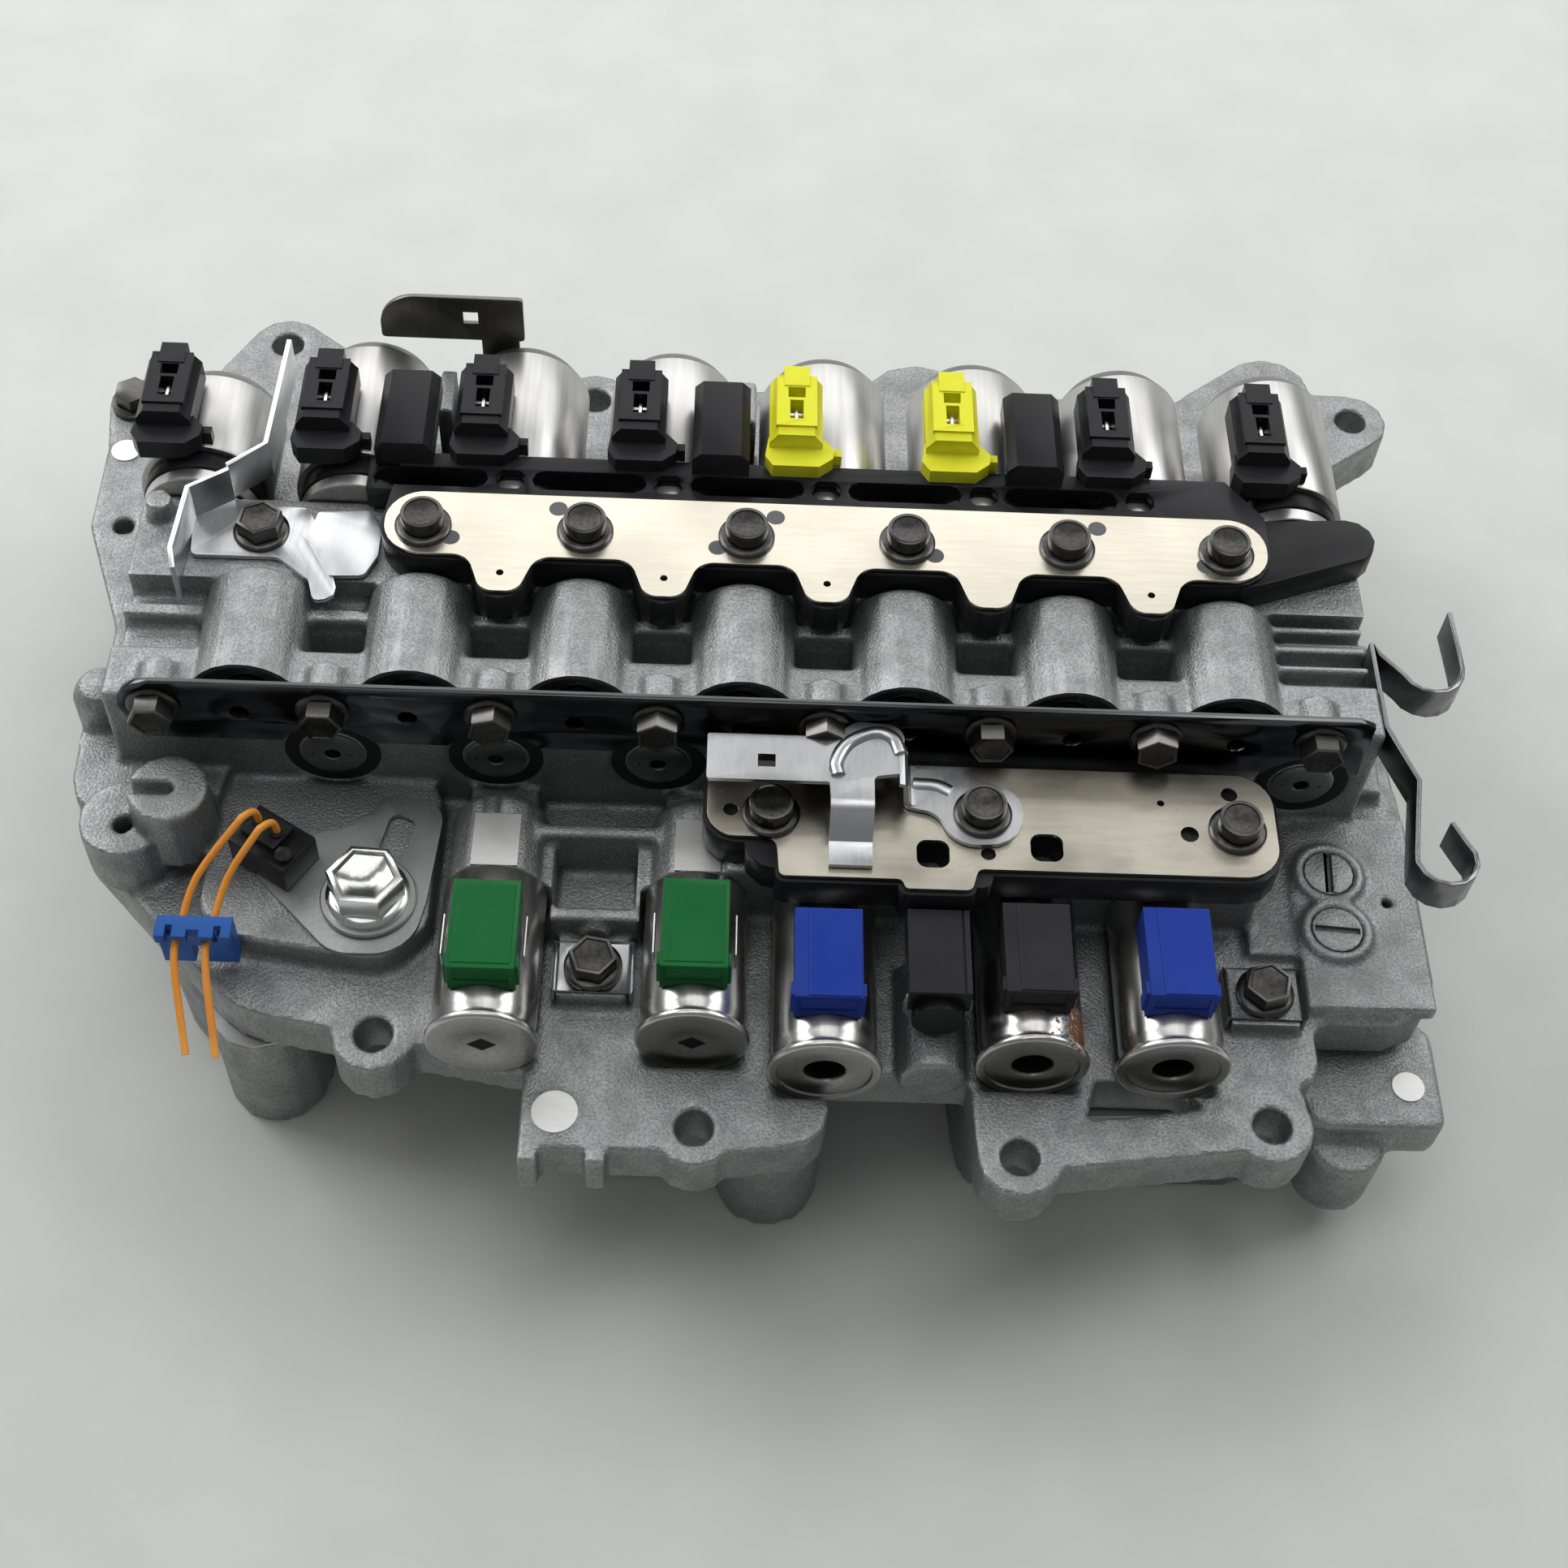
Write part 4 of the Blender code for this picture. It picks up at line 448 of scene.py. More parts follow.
def pad_tree():
    """Geometry Nodes: a thin round pad of each point's own radius."""
    tree = bpy.data.node_groups.new("round_pads", "GeometryNodeTree")
    tree.interface.new_socket("Points", in_out="INPUT", socket_type="NodeSocketGeometry")
    tree.interface.new_socket("Thickness", in_out="INPUT", socket_type="NodeSocketFloat")
    tree.interface.new_socket("Material", in_out="INPUT", socket_type="NodeSocketMaterial")
    tree.interface.new_socket("Pads", in_out="OUTPUT", socket_type="NodeSocketGeometry")
    given, result = tree.nodes.new("NodeGroupInput"), tree.nodes.new("NodeGroupOutput")
    disc = tree.nodes.new("GeometryNodeMeshCylinder")
    disc.inputs["Vertices"].default_value = 32
    disc.inputs["Radius"].default_value = 1.0
    tree.links.new(given.outputs["Thickness"], disc.inputs["Depth"])
    own = tree.nodes.new("GeometryNodeInputNamedAttribute")
    own.data_type = "FLOAT"
    own.inputs["Name"].default_value = "pad_radius"
    size = tree.nodes.new("ShaderNodeCombineXYZ")
    size.inputs["Z"].default_value = 1.0
    for axis in "XY":
        tree.links.new(own.outputs["Attribute"], size.inputs[axis])
    scatter = tree.nodes.new("GeometryNodeInstanceOnPoints")
    tree.links.new(given.outputs["Points"], scatter.inputs["Points"])
    tree.links.new(disc.outputs["Mesh"], scatter.inputs["Instance"])
    tree.links.new(size.outputs["Vector"], scatter.inputs["Scale"])
    real = tree.nodes.new("GeometryNodeRealizeInstances")
    tree.links.new(scatter.outputs["Instances"], real.inputs["Geometry"])
    paint = tree.nodes.new("GeometryNodeSetMaterial")
    tree.links.new(real.outputs["Geometry"], paint.inputs["Geometry"])
    tree.links.new(given.outputs["Material"], paint.inputs["Material"])
    tree.links.new(paint.outputs["Geometry"], result.inputs["Pads"])
    return tree


def grown(name, places, tree, inputs, attribute=None, values=()):
    """Runs a Geometry Nodes tree on a cloud of points and keeps its result as plain mesh."""
    piece = mesh_piece(name, places, [])
    if attribute:
        piece.data.attributes.new(attribute, "FLOAT", "POINT").data.foreach_set("value", values)
    modifier = piece.modifiers.new("nodes", "NODES")
    modifier.node_group = tree
    sockets = {item.name: item.identifier for item in tree.interface.items_tree if item.in_out == "INPUT"}
    for label, value in inputs.items():
        modifier[sockets[label]] = value
    settle(piece)
    piece.data.shade_smooth()
    piece.data.set_sharp_from_angle(angle=radians(35))
    return piece


milled = drawn_metal("milled", (0.56, 0.56, 0.55), (0.44, 0.44, 0.43), 0.38, (0.2, 1.0, 1.0))
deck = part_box("upper_body")[0][2] + 0.0142
joint_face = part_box("lower_body")[1][2]
PADS = ((-0.1770, 0.0825, deck + 0.0006, 0.0040), (-0.0435, -0.1205, deck + 0.0006, 0.0054),
        (0.1635, -0.0985, joint_face - 0.0007, 0.0040), (-0.1390, -0.0710, joint_face + 0.0003, 0.0050))
ROUND_PADS = pad_tree()
finish_as(grown("ejector_pads", [pad[:3] for pad in PADS], ROUND_PADS,
                {"Thickness": 0.0003, "Material": milled}, "pad_radius", [pad[3] for pad in PADS]),
          milled, "cast_aluminium")
FLAT_HALF, FLAT_LENGTH = 0.0056, 0.0150
flat_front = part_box("retaining_plate")[1][1] - 0.0405
dome_flats = []
for number in (1, 2):
    low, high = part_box(f"front_can_{number}")
    middle, crest = (low[0] + high[0]) / 2, (low[2] + high[2]) / 2 + 0.0110
    dome_flats.append(flat_box((middle - FLAT_HALF, flat_front, crest - 0.0004),
                               (middle + FLAT_HALF, flat_front + FLAT_LENGTH, crest + 0.0001)))
finish_as(eased(mesh_piece("dome_flats", *gathered(dome_flats)), 0.0001), milled, "cast_aluminium")


# Separator plate
# A flat sheet of rolled steel that parts the channels of the two castings.
# It is clamped between them, so that only its edge shows.

def keep(node, material):
    """A CAD node whose shape is right keeps it and gets its finish."""
    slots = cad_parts[node].material_slots
    for slot in slots:
        slot.material = material
    if not slots:
        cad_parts[node].data.materials.append(material)


rolled_steel = drawn_metal("rolled_steel", (0.40, 0.40, 0.40), (0.28, 0.28, 0.28), 0.36, (0.05, 1.0, 1.0))
keep("separator_plate", rolled_steel)


# Rear solenoid valves
# Eight drawn steel cans, nickel bright, each with a crimped end and a black moulded band.
# The nose is pushed into the casting, so only the can shows.

NOSE_LENGTH = 0.0180


def lathed(name, profile, segments, axis_x, axis_z, bands=None):
    """A round piece about an axis along Y, with a material number for each step if it has several."""
    work = bmesh.new()
    rings = []
    for radius, y in profile:
        if radius < 1e-6:
            rings.append([work.verts.new((axis_x, y, axis_z))])
            continue
        rings.append([work.verts.new((axis_x + radius * cos(2 * pi * k / segments), y,
                                      axis_z + radius * sin(2 * pi * k / segments)))
                      for k in range(segments)])
    for row, (first, second) in enumerate(zip(rings, rings[1:])):
        for k in range(segments):
            corners = [first[k % len(first)], first[(k + 1) % len(first)],
                       second[(k + 1) % len(second)], second[k % len(second)]]
            face = work.faces.new(list(dict.fromkeys(corners)))
            face.material_index = bands[row] if bands else 0
            face.smooth = True
    bmesh.ops.recalc_face_normals(work, faces=work.faces)
    mesh = bpy.data.meshes.new(name)
    work.to_mesh(mesh)
    work.free()
    mesh.set_sharp_from_angle(angle=radians(40))
    return link(bpy.data.objects.new(name, mesh))


can_steel = drawn_metal("can_steel", (0.56, 0.555, 0.54), (0.45, 0.445, 0.43), 0.34, (1.0, 0.04, 1.0))
# Painted shade: the sloped rear end and end face of each can take a darker copy of the can steel.
can_end_shade = drawn_metal("can_end_shade", (0.26, 0.26, 0.25), (0.19, 0.19, 0.185), 0.38, (1.0, 1.0, 1.0))
black_moulding = moulding("black_moulding", (0.008, 0.008, 0.009), (0.015, 0.015, 0.017), 0.27)

for number in range(1, 9):
    low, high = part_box(f"rear_can_{number}")
    axis_x, axis_z = (low[0] + high[0]) / 2, (low[2] + high[2]) / 2
    radius, end, nose = (high[0] - low[0]) / 2, high[1], low[1]
    face = nose + NOSE_LENGTH
    profile = [(0, nose), (0.0064, nose), (0.0067, nose + 0.0004), (0.0067, face), (0.0147, face),
               (0.0150, face + 0.0003), (0.0150, face + 0.0036), (0.0146, face + 0.0037),
               (0.0152, face + 0.0041), (0.0154, face + 0.0045), (0.0154, face + 0.0090),
               (0.0150, face + 0.0094), (0.0168, face + 0.0095), (radius - 0.0002, face + 0.0097),
               (radius, face + 0.0101), (radius, end - 0.0052), (radius - 0.0003, end - 0.0046),
               (radius - 0.0018, end - 0.0022), (radius - 0.0028, end - 0.0006),
               (radius - 0.0033, end - 0.0001), (radius - 0.0037, end), (radius - 0.0042, end - 0.0004),
               (0.0080, end - 0.0004), (0.0076, end - 0.0008), (0.0020, end - 0.0008), (0, end - 0.0008)]
    # The last ten steps, the sloped end and its face, carry the painted end shade.
    bands = [0] * 7 + [1] * 4 + [0] * 4 + [2] * 10
    can = lathed(f"rear_can_{number}_shell", profile, 72, axis_x, axis_z, bands)
    for finish in (can_steel, black_moulding, can_end_shade):
        can.data.materials.append(finish)
    finish_as(can, can_steel, "solenoid_steel", f"rear_can_{number}")


# Rear connectors
# Moulded plug sockets on top of each can, black on six and yellow on two.
# Each has a latch lip, a window through to the can and a bright pin in its channel.

def united(name, shapes, cuts=()):
    """Shapes joined to one body, less the cuts, by exact Booleans."""
    piece = mesh_piece(name, *shapes[0])
    tools = []
    for operation, group in (("UNION", shapes[1:]), ("DIFFERENCE", cuts)):
        for shape in group:
            tools.append(mesh_piece(name + "_tool", *shape))
            step = piece.modifiers.new(operation.lower(), "BOOLEAN")
            step.object = tools[-1]
            step.operation = operation
            step.solver = "EXACT"
    settle(piece)
    for tool in tools:
        bpy.data.objects.remove(tool)
    return piece


yellow_moulding = moulding("yellow_moulding", (0.62, 0.60, 0.010), (0.72, 0.70, 0.03), 0.38)
pin_steel = drawn_metal("pin_steel", (0.70, 0.69, 0.66), (0.55, 0.54, 0.52), 0.25, (1.0, 1.0, 1.0))
BARREL = ((-0.0068, 0.0002), (-0.0068, 0.0062), (-0.0046, 0.0092), (0.0046, 0.0092), (0.0068, 0.0062),
          (0.0068, 0.0002))
COLLAR = ((-0.0058, 0.0008), (0.0060, 0.0008), (0.0095, 0.0038), (0.0098, 0.0072), (0.0070, 0.0105),
          (-0.0070, 0.0105), (-0.0078, 0.0040))
FOOT = ((-0.0040, 0.0060), (0.0118, 0.0060), (0.0118, 0.0084), (-0.0040, 0.0084))
OFF_AXIS, NECK_LENGTH, LIP = 0.0080, 0.0047, 0.0030
YELLOW_ONES = (5, 6)
SEAT_GAP = 0.0003  # between pieces that rest on each other
pins = []
for number in range(1, 9):
    low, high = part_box(f"rear_connector_{number}")
    can_low, can_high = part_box(f"rear_can_{number}")
    middle, end, crown = (can_low[0] + can_high[0]) / 2 - OFF_AXIS, high[1] - LIP, high[2]
    front = can_low[1] + NOSE_LENGTH + NECK_LENGTH
    barrel = along_y([(middle + x, crown - 0.0100 + z) for x, z in BARREL], front + 0.0070, end)
    collar = slab([(middle + x, front + y) for x, y in COLLAR], crown - 0.0112, crown - 0.0055)
    foot = slab([(middle + x, front + y) for x, y in FOOT], low[2], crown - 0.0070)
    latch = flat_box((middle - 0.0033, end - 0.0040, crown - 0.0040), (middle + 0.0033, end + 0.0029, crown))
    lid = flat_box((middle - 0.0052, front + 0.0100, crown - 0.0020),
                   (middle + 0.0052, end - 0.0002, crown - 0.0003))
    window = flat_box((middle - 0.0022, end - 0.0080, crown - 0.0130),
                      (middle + 0.0022, end - 0.0044, crown + 0.0020))
    channel = flat_box((middle - 0.0017, front + 0.0125, crown - 0.0060),
                       (middle + 0.0017, end - 0.0090, crown + 0.0020))
    mouth = flat_box((middle - 0.0050, end - 0.0090, crown - 0.0088),
                     (middle + 0.0050, end + 0.0010, crown - 0.0046))
    axis_x, axis_z = (can_low[0] + can_high[0]) / 2, (can_low[2] + can_high[2]) / 2
    saddle = along_y(arc(axis_x, axis_z, (can_high[0] - can_low[0]) / 2 + SEAT_GAP, 48, 24),
                     front - 0.0100, end + 0.0100)
    shell = united(f"rear_connector_{number}_shell", [barrel, collar, foot, latch, lid],
                   [window, channel, mouth, saddle])
    finish, slot = black_moulding, "black_plastic"
    if number in YELLOW_ONES:
        finish, slot = yellow_moulding, "yellow_plastic"
    finish_as(eased(shell, 0.00060), finish, slot, f"rear_connector_{number}")
    pins.append(flat_box((middle - 0.0005, front + 0.0128, crown - 0.0058),
                         (middle + 0.0005, end - 0.0100, crown - 0.0026)))
finish_as(eased(mesh_piece("rear_connector_pins", *gathered(pins)), 0.0002), pin_steel, "solenoid_steel")


# Wiring carrier
# A black moulded housing over the seat of the casting, with slots, eyes and three plug blocks.
# Each slot has a floor with a low rib. The bright contact plate lies on it.

BLOCKS, BLOCK_HALF, BLOCK_TOP, CHAMFER = (-0.0900, -0.0100, 0.0700), 0.00725, 0.11005, 0.0032
block_edges = []
for middle in BLOCKS:
    for side in (-1, 1):
        edge = middle + side * BLOCK_HALF
        corner = [(edge + side * 0.0010, BLOCK_TOP - CHAMFER), (edge + side * 0.0010, BLOCK_TOP + 0.0010),
                  (edge - side * CHAMFER, BLOCK_TOP + 0.0010)]
        block_edges.append(along_y(corner, 0.0200, 0.0700))
finish_as(softened("upper_housing", 0.00030, cuts=block_edges), black_moulding, "black_plastic",
          "upper_housing")
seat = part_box("upper_housing")[0][2]
BOLT_PITCH = 0.0400
bolt_columns = [-0.0830 + BOLT_PITCH * k for k in range(6)]
floors = []
for x in bolt_columns[:5]:
    floors += [flat_box((x - 0.0150, 0.0290, seat + 0.0001), (x + 0.0150, 0.0360, seat + 0.0014)),
               flat_box((x - 0.0140, 0.0302, seat + 0.0010), (x + 0.0140, 0.0308, seat + 0.0034)),
               flat_box((x + 0.0160, 0.0290, seat + 0.0001), (x + 0.0240, 0.0360, seat + 0.0016)),
               flat_box((x + 0.0180, 0.0304, seat + 0.0012), (x + 0.0220, 0.0322, seat + 0.0040))]
finish_as(eased(mesh_piece("carrier_floors", *gathered(floors)), 0.0003), black_moulding, "black_plastic")


# Bolts
# Cup head and hexagon flange bolts, cold formed in black steel, with a pressed dish on top.
# They hold the contact plates, the retaining plate and the clips. Each is turned its own way.

def bolt_tree():
    """Geometry Nodes: a flange and a head with a dished top, set on every point."""
    tree = bpy.data.node_groups.new("flange_bolts", "GeometryNodeTree")
    tree.interface.new_socket("Points", in_out="INPUT", socket_type="NodeSocketGeometry")
    for label, kind in (("Head Sides", "NodeSocketInt"), ("Flange Radius", "NodeSocketFloat"),
                        ("Flange Height", "NodeSocketFloat"), ("Head Radius", "NodeSocketFloat"),
                        ("Head Height", "NodeSocketFloat"), ("Dish Depth", "NodeSocketFloat"),
                        ("Tilt", "NodeSocketFloat"), ("Seed", "NodeSocketInt"),
                        ("Material", "NodeSocketMaterial")):
        tree.interface.new_socket(label, in_out="INPUT", socket_type=kind)
    tree.interface.new_socket("Bolts", in_out="OUTPUT", socket_type="NodeSocketGeometry")
    given, result = tree.nodes.new("NodeGroupInput"), tree.nodes.new("NodeGroupOutput")

    def times(source, factor):
        """One of the given sizes, times a factor."""
        node = tree.nodes.new("ShaderNodeMath")
        node.operation = "MULTIPLY"
        tree.links.new(given.outputs[source], node.inputs[0])
        node.inputs[1].default_value = factor
        return node.outputs["Value"]

    def rise(body, chosen, height, factor):
        """Draws the chosen face out by a height and scales it."""
        pull = tree.nodes.new("GeometryNodeExtrudeMesh")
        pull.mode = "FACES"
        tree.links.new(body, pull.inputs["Mesh"])
        if chosen is not None:
            tree.links.new(chosen, pull.inputs["Selection"])
        tree.links.new(height, pull.inputs["Offset Scale"])
        size = tree.nodes.new("GeometryNodeScaleElements")
        size.domain = "FACE"
        tree.links.new(pull.outputs["Mesh"], size.inputs["Geometry"])
        tree.links.new(pull.outputs["Top"], size.inputs["Selection"])
        size.inputs["Scale"].default_value = factor
        return size.outputs["Geometry"], pull.outputs["Top"]

    flange = tree.nodes.new("GeometryNodeMeshCircle")
    flange.fill_type = "NGON"
    flange.inputs["Vertices"].default_value = 48
    tree.links.new(given.outputs["Flange Radius"], flange.inputs["Radius"])
    body, chosen = flange.outputs["Mesh"], None
    for part, factor in ((0.55, 1.0), (0.15, 0.975), (0.30, 0.86)):
        body, chosen = rise(body, chosen, times("Flange Height", part), factor)
    head = tree.nodes.new("GeometryNodeMeshCircle")
    head.fill_type = "NGON"
    tree.links.new(given.outputs["Head Sides"], head.inputs["Vertices"])
    tree.links.new(given.outputs["Head Radius"], head.inputs["Radius"])
    top, chosen = head.outputs["Mesh"], None
    for source, part, factor in (("Flange Height", 0.9, 1.0), ("Head Height", 0.88, 1.0),
                                 ("Head Height", 0.09, 0.96), ("Head Height", 0.03, 0.90),
                                 ("Dish Depth", 0.0, 0.92), ("Dish Depth", -0.45, 0.96),
                                 ("Dish Depth", -0.35, 0.55), ("Dish Depth", -0.20, 0.40)):
        top, chosen = rise(top, chosen, times(source, part), factor)
    whole = tree.nodes.new("GeometryNodeJoinGeometry")
    tree.links.new(body, whole.inputs["Geometry"])
    tree.links.new(top, whole.inputs["Geometry"])
    spin = tree.nodes.new("FunctionNodeRandomValue")
    spin.inputs[3].default_value = 2 * pi
    tree.links.new(given.outputs["Seed"], spin.inputs["Seed"])
    facing = tree.nodes.new("ShaderNodeCombineXYZ")
    tree.links.new(given.outputs["Tilt"], facing.inputs["X"])
    turn = tree.nodes.new("ShaderNodeCombineXYZ")
    tree.links.new(spin.outputs[1], turn.inputs["Z"])
    scatter = tree.nodes.new("GeometryNodeInstanceOnPoints")
    tree.links.new(given.outputs["Points"], scatter.inputs["Points"])
    tree.links.new(whole.outputs["Geometry"], scatter.inputs["Instance"])
    tree.links.new(facing.outputs["Vector"], scatter.inputs["Rotation"])
    twist = tree.nodes.new("GeometryNodeRotateInstances")
    tree.links.new(scatter.outputs["Instances"], twist.inputs["Instances"])
    tree.links.new(turn.outputs["Vector"], twist.inputs["Rotation"])
    real = tree.nodes.new("GeometryNodeRealizeInstances")
    tree.links.new(twist.outputs["Instances"], real.inputs["Geometry"])
    paint = tree.nodes.new("GeometryNodeSetMaterial")
    tree.links.new(real.outputs["Geometry"], paint.inputs["Geometry"])
    tree.links.new(given.outputs["Material"], paint.inputs["Material"])
    tree.links.new(paint.outputs["Geometry"], result.inputs["Bolts"])
    return tree


black_steel = drawn_metal("black_steel", (0.085, 0.083, 0.080), (0.045, 0.044, 0.043), 0.26, (1.0, 1.0, 1.0))
FLANGE_BOLTS = bolt_tree()
CUP_BOLT = {"sides": 48, "flange": (0.0070, 0.0013), "head": (0.0053, 0.0044)}  # radius and height of each
HEX_BOLT = {"sides": 6, "flange": (0.0070, 0.0014), "head": (0.0059, 0.0046)}


def bolts(name, places, sides, flange, head, dish=0.0007, tilt=0.0, seed=1, finish=black_steel):
    """A set of like bolts on their seats."""
    return grown(name, places, FLANGE_BOLTS,
                 {"Head Sides": sides, "Flange Radius": flange[0], "Flange Height": flange[1],
                  "Head Radius": head[0], "Head Height": head[1], "Dish Depth": dish, "Tilt": tilt,
                  "Seed": seed, "Material": finish})


# Upper contact plate
# A stamped sheet of brushed steel with five tongues, which lies on the wiring carrier.
# Six cup head bolts hold it down, and grey plastic stakes stand beside them.

BOLT_ROW_Y = 0.0145
HOUSING_T, PLATE_T = 0.0087, 0.0010
PLATE_TOP = seat + HOUSING_T + SEAT_GAP + PLATE_T


def along_z(x, y, radius, low, high, sides=24):
    """A round bar standing at x, y."""
    turns = [2 * pi * k / sides for k in range(sides)]
    return slab([(x + radius * cos(turn), y + radius * sin(turn)) for turn in turns], low, high)


def fillet(corners, steps=5):
    """Outline through corners given as x, y and the radius that rounds each."""
    points = []
    for i, (x, y, radius) in enumerate(corners):
        corner = Vector((x, y))
        before = (Vector(corners[i - 1][:2]) - corner).normalized()
        after = (Vector(corners[(i + 1) % len(corners)][:2]) - corner).normalized()
        half = before.angle(after) / 2
        centre = corner + (before + after).normalized() * radius / sin(half)
        first = corner + before * radius / tan(half) - centre
        last = corner + after * radius / tan(half) - centre
        for k in range(steps + 1):
            points.append(tuple(centre + first.lerp(last, k / steps).normalized() * radius))
    return points


def eye(x, y, radius, top):
    """A drill for a round hole through a contact plate."""
    return along_z(x, y, radius, top - 0.0030, top + 0.0020)


contact_metal = drawn_metal("contact_metal", (0.61, 0.570, 0.48), (0.54, 0.500, 0.41), 0.25, (0.10, 1.0, 1.0),
                            0.00001, 40.0)
plate_low, plate_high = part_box("upper_contact_plate")
plate_corners = [(plate_low[0], 0.0262, 0.0096), (plate_low[0], 0.0058, 0.0096)]
for x in bolt_columns[:5]:
    plate_corners += [(x + 0.0116, 0.0058, 0.0055), (x + 0.0155, -0.0055, 0.0042),
                      (x + 0.0245, -0.0055, 0.0042), (x + 0.0284, 0.0058, 0.0055)]
plate_corners += [(plate_high[0], 0.0058, 0.0096), (plate_high[0], 0.0262, 0.0096)]
eyes = [eye(x + BOLT_PITCH / 2, 0.0003, 0.0009, PLATE_TOP) for x in bolt_columns[:3] + bolt_columns[4:5]]
plate = united("upper_plate_sheet", [slab(fillet(plate_corners, 8), PLATE_TOP - PLATE_T, PLATE_TOP)], eyes)
finish_as(eased(plate, 0.00015), contact_metal, "contact_plate", "upper_contact_plate")
finish_as(bolts("upper_plate_bolts", [(x, BOLT_ROW_Y, PLATE_TOP - 0.0001) for x in bolt_columns], **CUP_BOLT,
                seed=3), black_steel, "dark_steel")
stake_grey = moulding("stake_grey", (0.085, 0.085, 0.088), (0.11, 0.11, 0.113), 0.55)
STAKES = ((0, 0.0070, -0.0034), (1, -0.0071, 0.0073), (2, 0.0072, 0.0070), (2, -0.0071, -0.0037),
          (3, 0.0068, -0.0038), (4, 0.0081, 0.0071), (5, -0.0055, -0.0041))  # bolt, and place beside it
stakes = [(bolt_columns[k] + x, BOLT_ROW_Y + y, PLATE_TOP - 0.0014) for k, x, y in STAKES]
finish_as(grown("plate_stakes", stakes, ROUND_PADS, {"Thickness": 0.0029, "Material": stake_grey},
                "pad_radius", [0.0023] * len(stakes)), stake_grey, "black_plastic")


# Retaining plate
# A dark polished steel strip across the damper bores, held by eight hexagon flange bolts.
# It keeps the seven damper pistons in. They are dark steel too, and slide behind it.

WALL_Y = BOLT_ROW_Y - 0.0477  # the machined front wall of the casting
STRIP_T, STRIP_END_R = 0.0015, 0.0087
STRIP_FRONT = WALL_Y - SEAT_GAP - STRIP_T
strip_bolt_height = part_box("retaining_plate")[1][2] - STRIP_END_R


def bared(node, width, beyond):
    """A softened copy of a plate, without the bolt heads that stand beyond it."""
    piece = fresh_copy(node)
    work = bmesh.new()
    work.from_mesh(piece.data)
    extra = [face for face in work.faces if beyond(face.calc_center_median())]
    bmesh.ops.delete(work, geom=extra, context="FACES")
    bmesh.ops.dissolve_limit(work, angle_limit=radians(0.5), verts=work.verts, edges=work.edges)
    work.to_mesh(piece.data)
    work.free()
    return eased(piece, width)


dark_steel = drawn_metal("dark_steel", (0.060, 0.062, 0.068), (0.040, 0.041, 0.045), 0.17, (0.08, 1.0, 1.0))
finish_as(bared("retaining_plate", 0.00020, lambda at: at.y < STRIP_FRONT - 0.00005), dark_steel,
          "dark_steel", "retaining_plate")
finish_as(bolts("retaining_plate_bolts",
                [(-0.1430 + BOLT_PITCH * k, STRIP_FRONT + 0.0001, strip_bolt_height) for k in range(8)],
                sides=6, flange=(0.0064, 0.0013), head=(0.0055, 0.0045), tilt=pi / 2, seed=5),
          black_steel, "dark_steel")
for number in range(1, 8):
    keep(f"damper_piston_{number}", dark_steel)


# Bore plugs
# Turned steel plugs that close the spool bores in the front wall, with a centre hole and two pin holes.
# Each sits in a shallow ring groove whose floor is painted near black as shade; its two pin holes are painted as
# thin black blocks.

PLUG_PLACES, PIN_HOLE_AT = (-0.1030, -0.0630, -0.0230, 0.1370), 0.0047
plug_height = strip_bolt_height - 0.0197
plug_steel = drawn_metal("plug_steel", (0.20, 0.205, 0.205), (0.13, 0.133, 0.133), 0.38, (1.0, 1.0, 1.0))
groove_and_hole_shade = moulding("groove_and_hole_shade", (0.012, 0.012, 0.013), (0.018, 0.018, 0.019), 0.5)
for number, x in enumerate(PLUG_PLACES, 1):
    profile = [(0.0019, WALL_Y + 0.0030), (0.0019, WALL_Y - 0.0001), (0.0022, WALL_Y - 0.0004),
               (0.0068, WALL_Y - 0.0004), (0.0076, WALL_Y - 0.0001), (0.0078, WALL_Y + 0.0012)]
    finish_as(lathed(f"bore_plug_{number}", profile, 48, x, plug_height), plug_steel, "separator_steel")
    # Painted shade: the floor of the ring groove round the plug is near black.
    profile = [(0.0079, WALL_Y + 0.0012), (0.0083, WALL_Y + 0.0004), (0.0100, WALL_Y + 0.0002),
               (0.0117, WALL_Y + 0.0005), (0.0121, WALL_Y + 0.0012)]
    finish_as(lathed(f"plug_ring_{number}", profile, 48, x, plug_height), groove_and_hole_shade, "black_plastic")
    # Painted shade: each pin hole is a thin near-black block on the plug's face.
    holes = [flat_box((x + side * PIN_HOLE_AT - 0.0004, WALL_Y - 0.00045, plug_height - 0.0004),
                      (x + side * PIN_HOLE_AT + 0.0004, WALL_Y, plug_height + 0.0004)) for side in (-1, 1)]
    finish_as(eased(mesh_piece(f"plug_pin_holes_{number}", *gathered(holes)), 0.0002), groove_and_hole_shade,
              "black_plastic")


# Front solenoid valves
# Five smaller cans with rolled caps, polished, two with a diamond key hole and three with a round one.
# A box socket with a raised cover sits on top of each: two green, two blue and one black.

polished = drawn_metal("polished", (0.60, 0.59, 0.57), (0.48, 0.475, 0.46), 0.26, (1.0, 0.05, 1.0))
cap_metal = drawn_metal("cap_metal", (0.42, 0.41, 0.39), (0.32, 0.315, 0.30), 0.33, (1.0, 1.0, 1.0))
# Painted shade: near black for the key holes, the round holes in the caps and the sensor's wire holes.
hole_shade = moulding("hole_shade", (0.006, 0.006, 0.006), (0.010, 0.010, 0.010), 0.6)


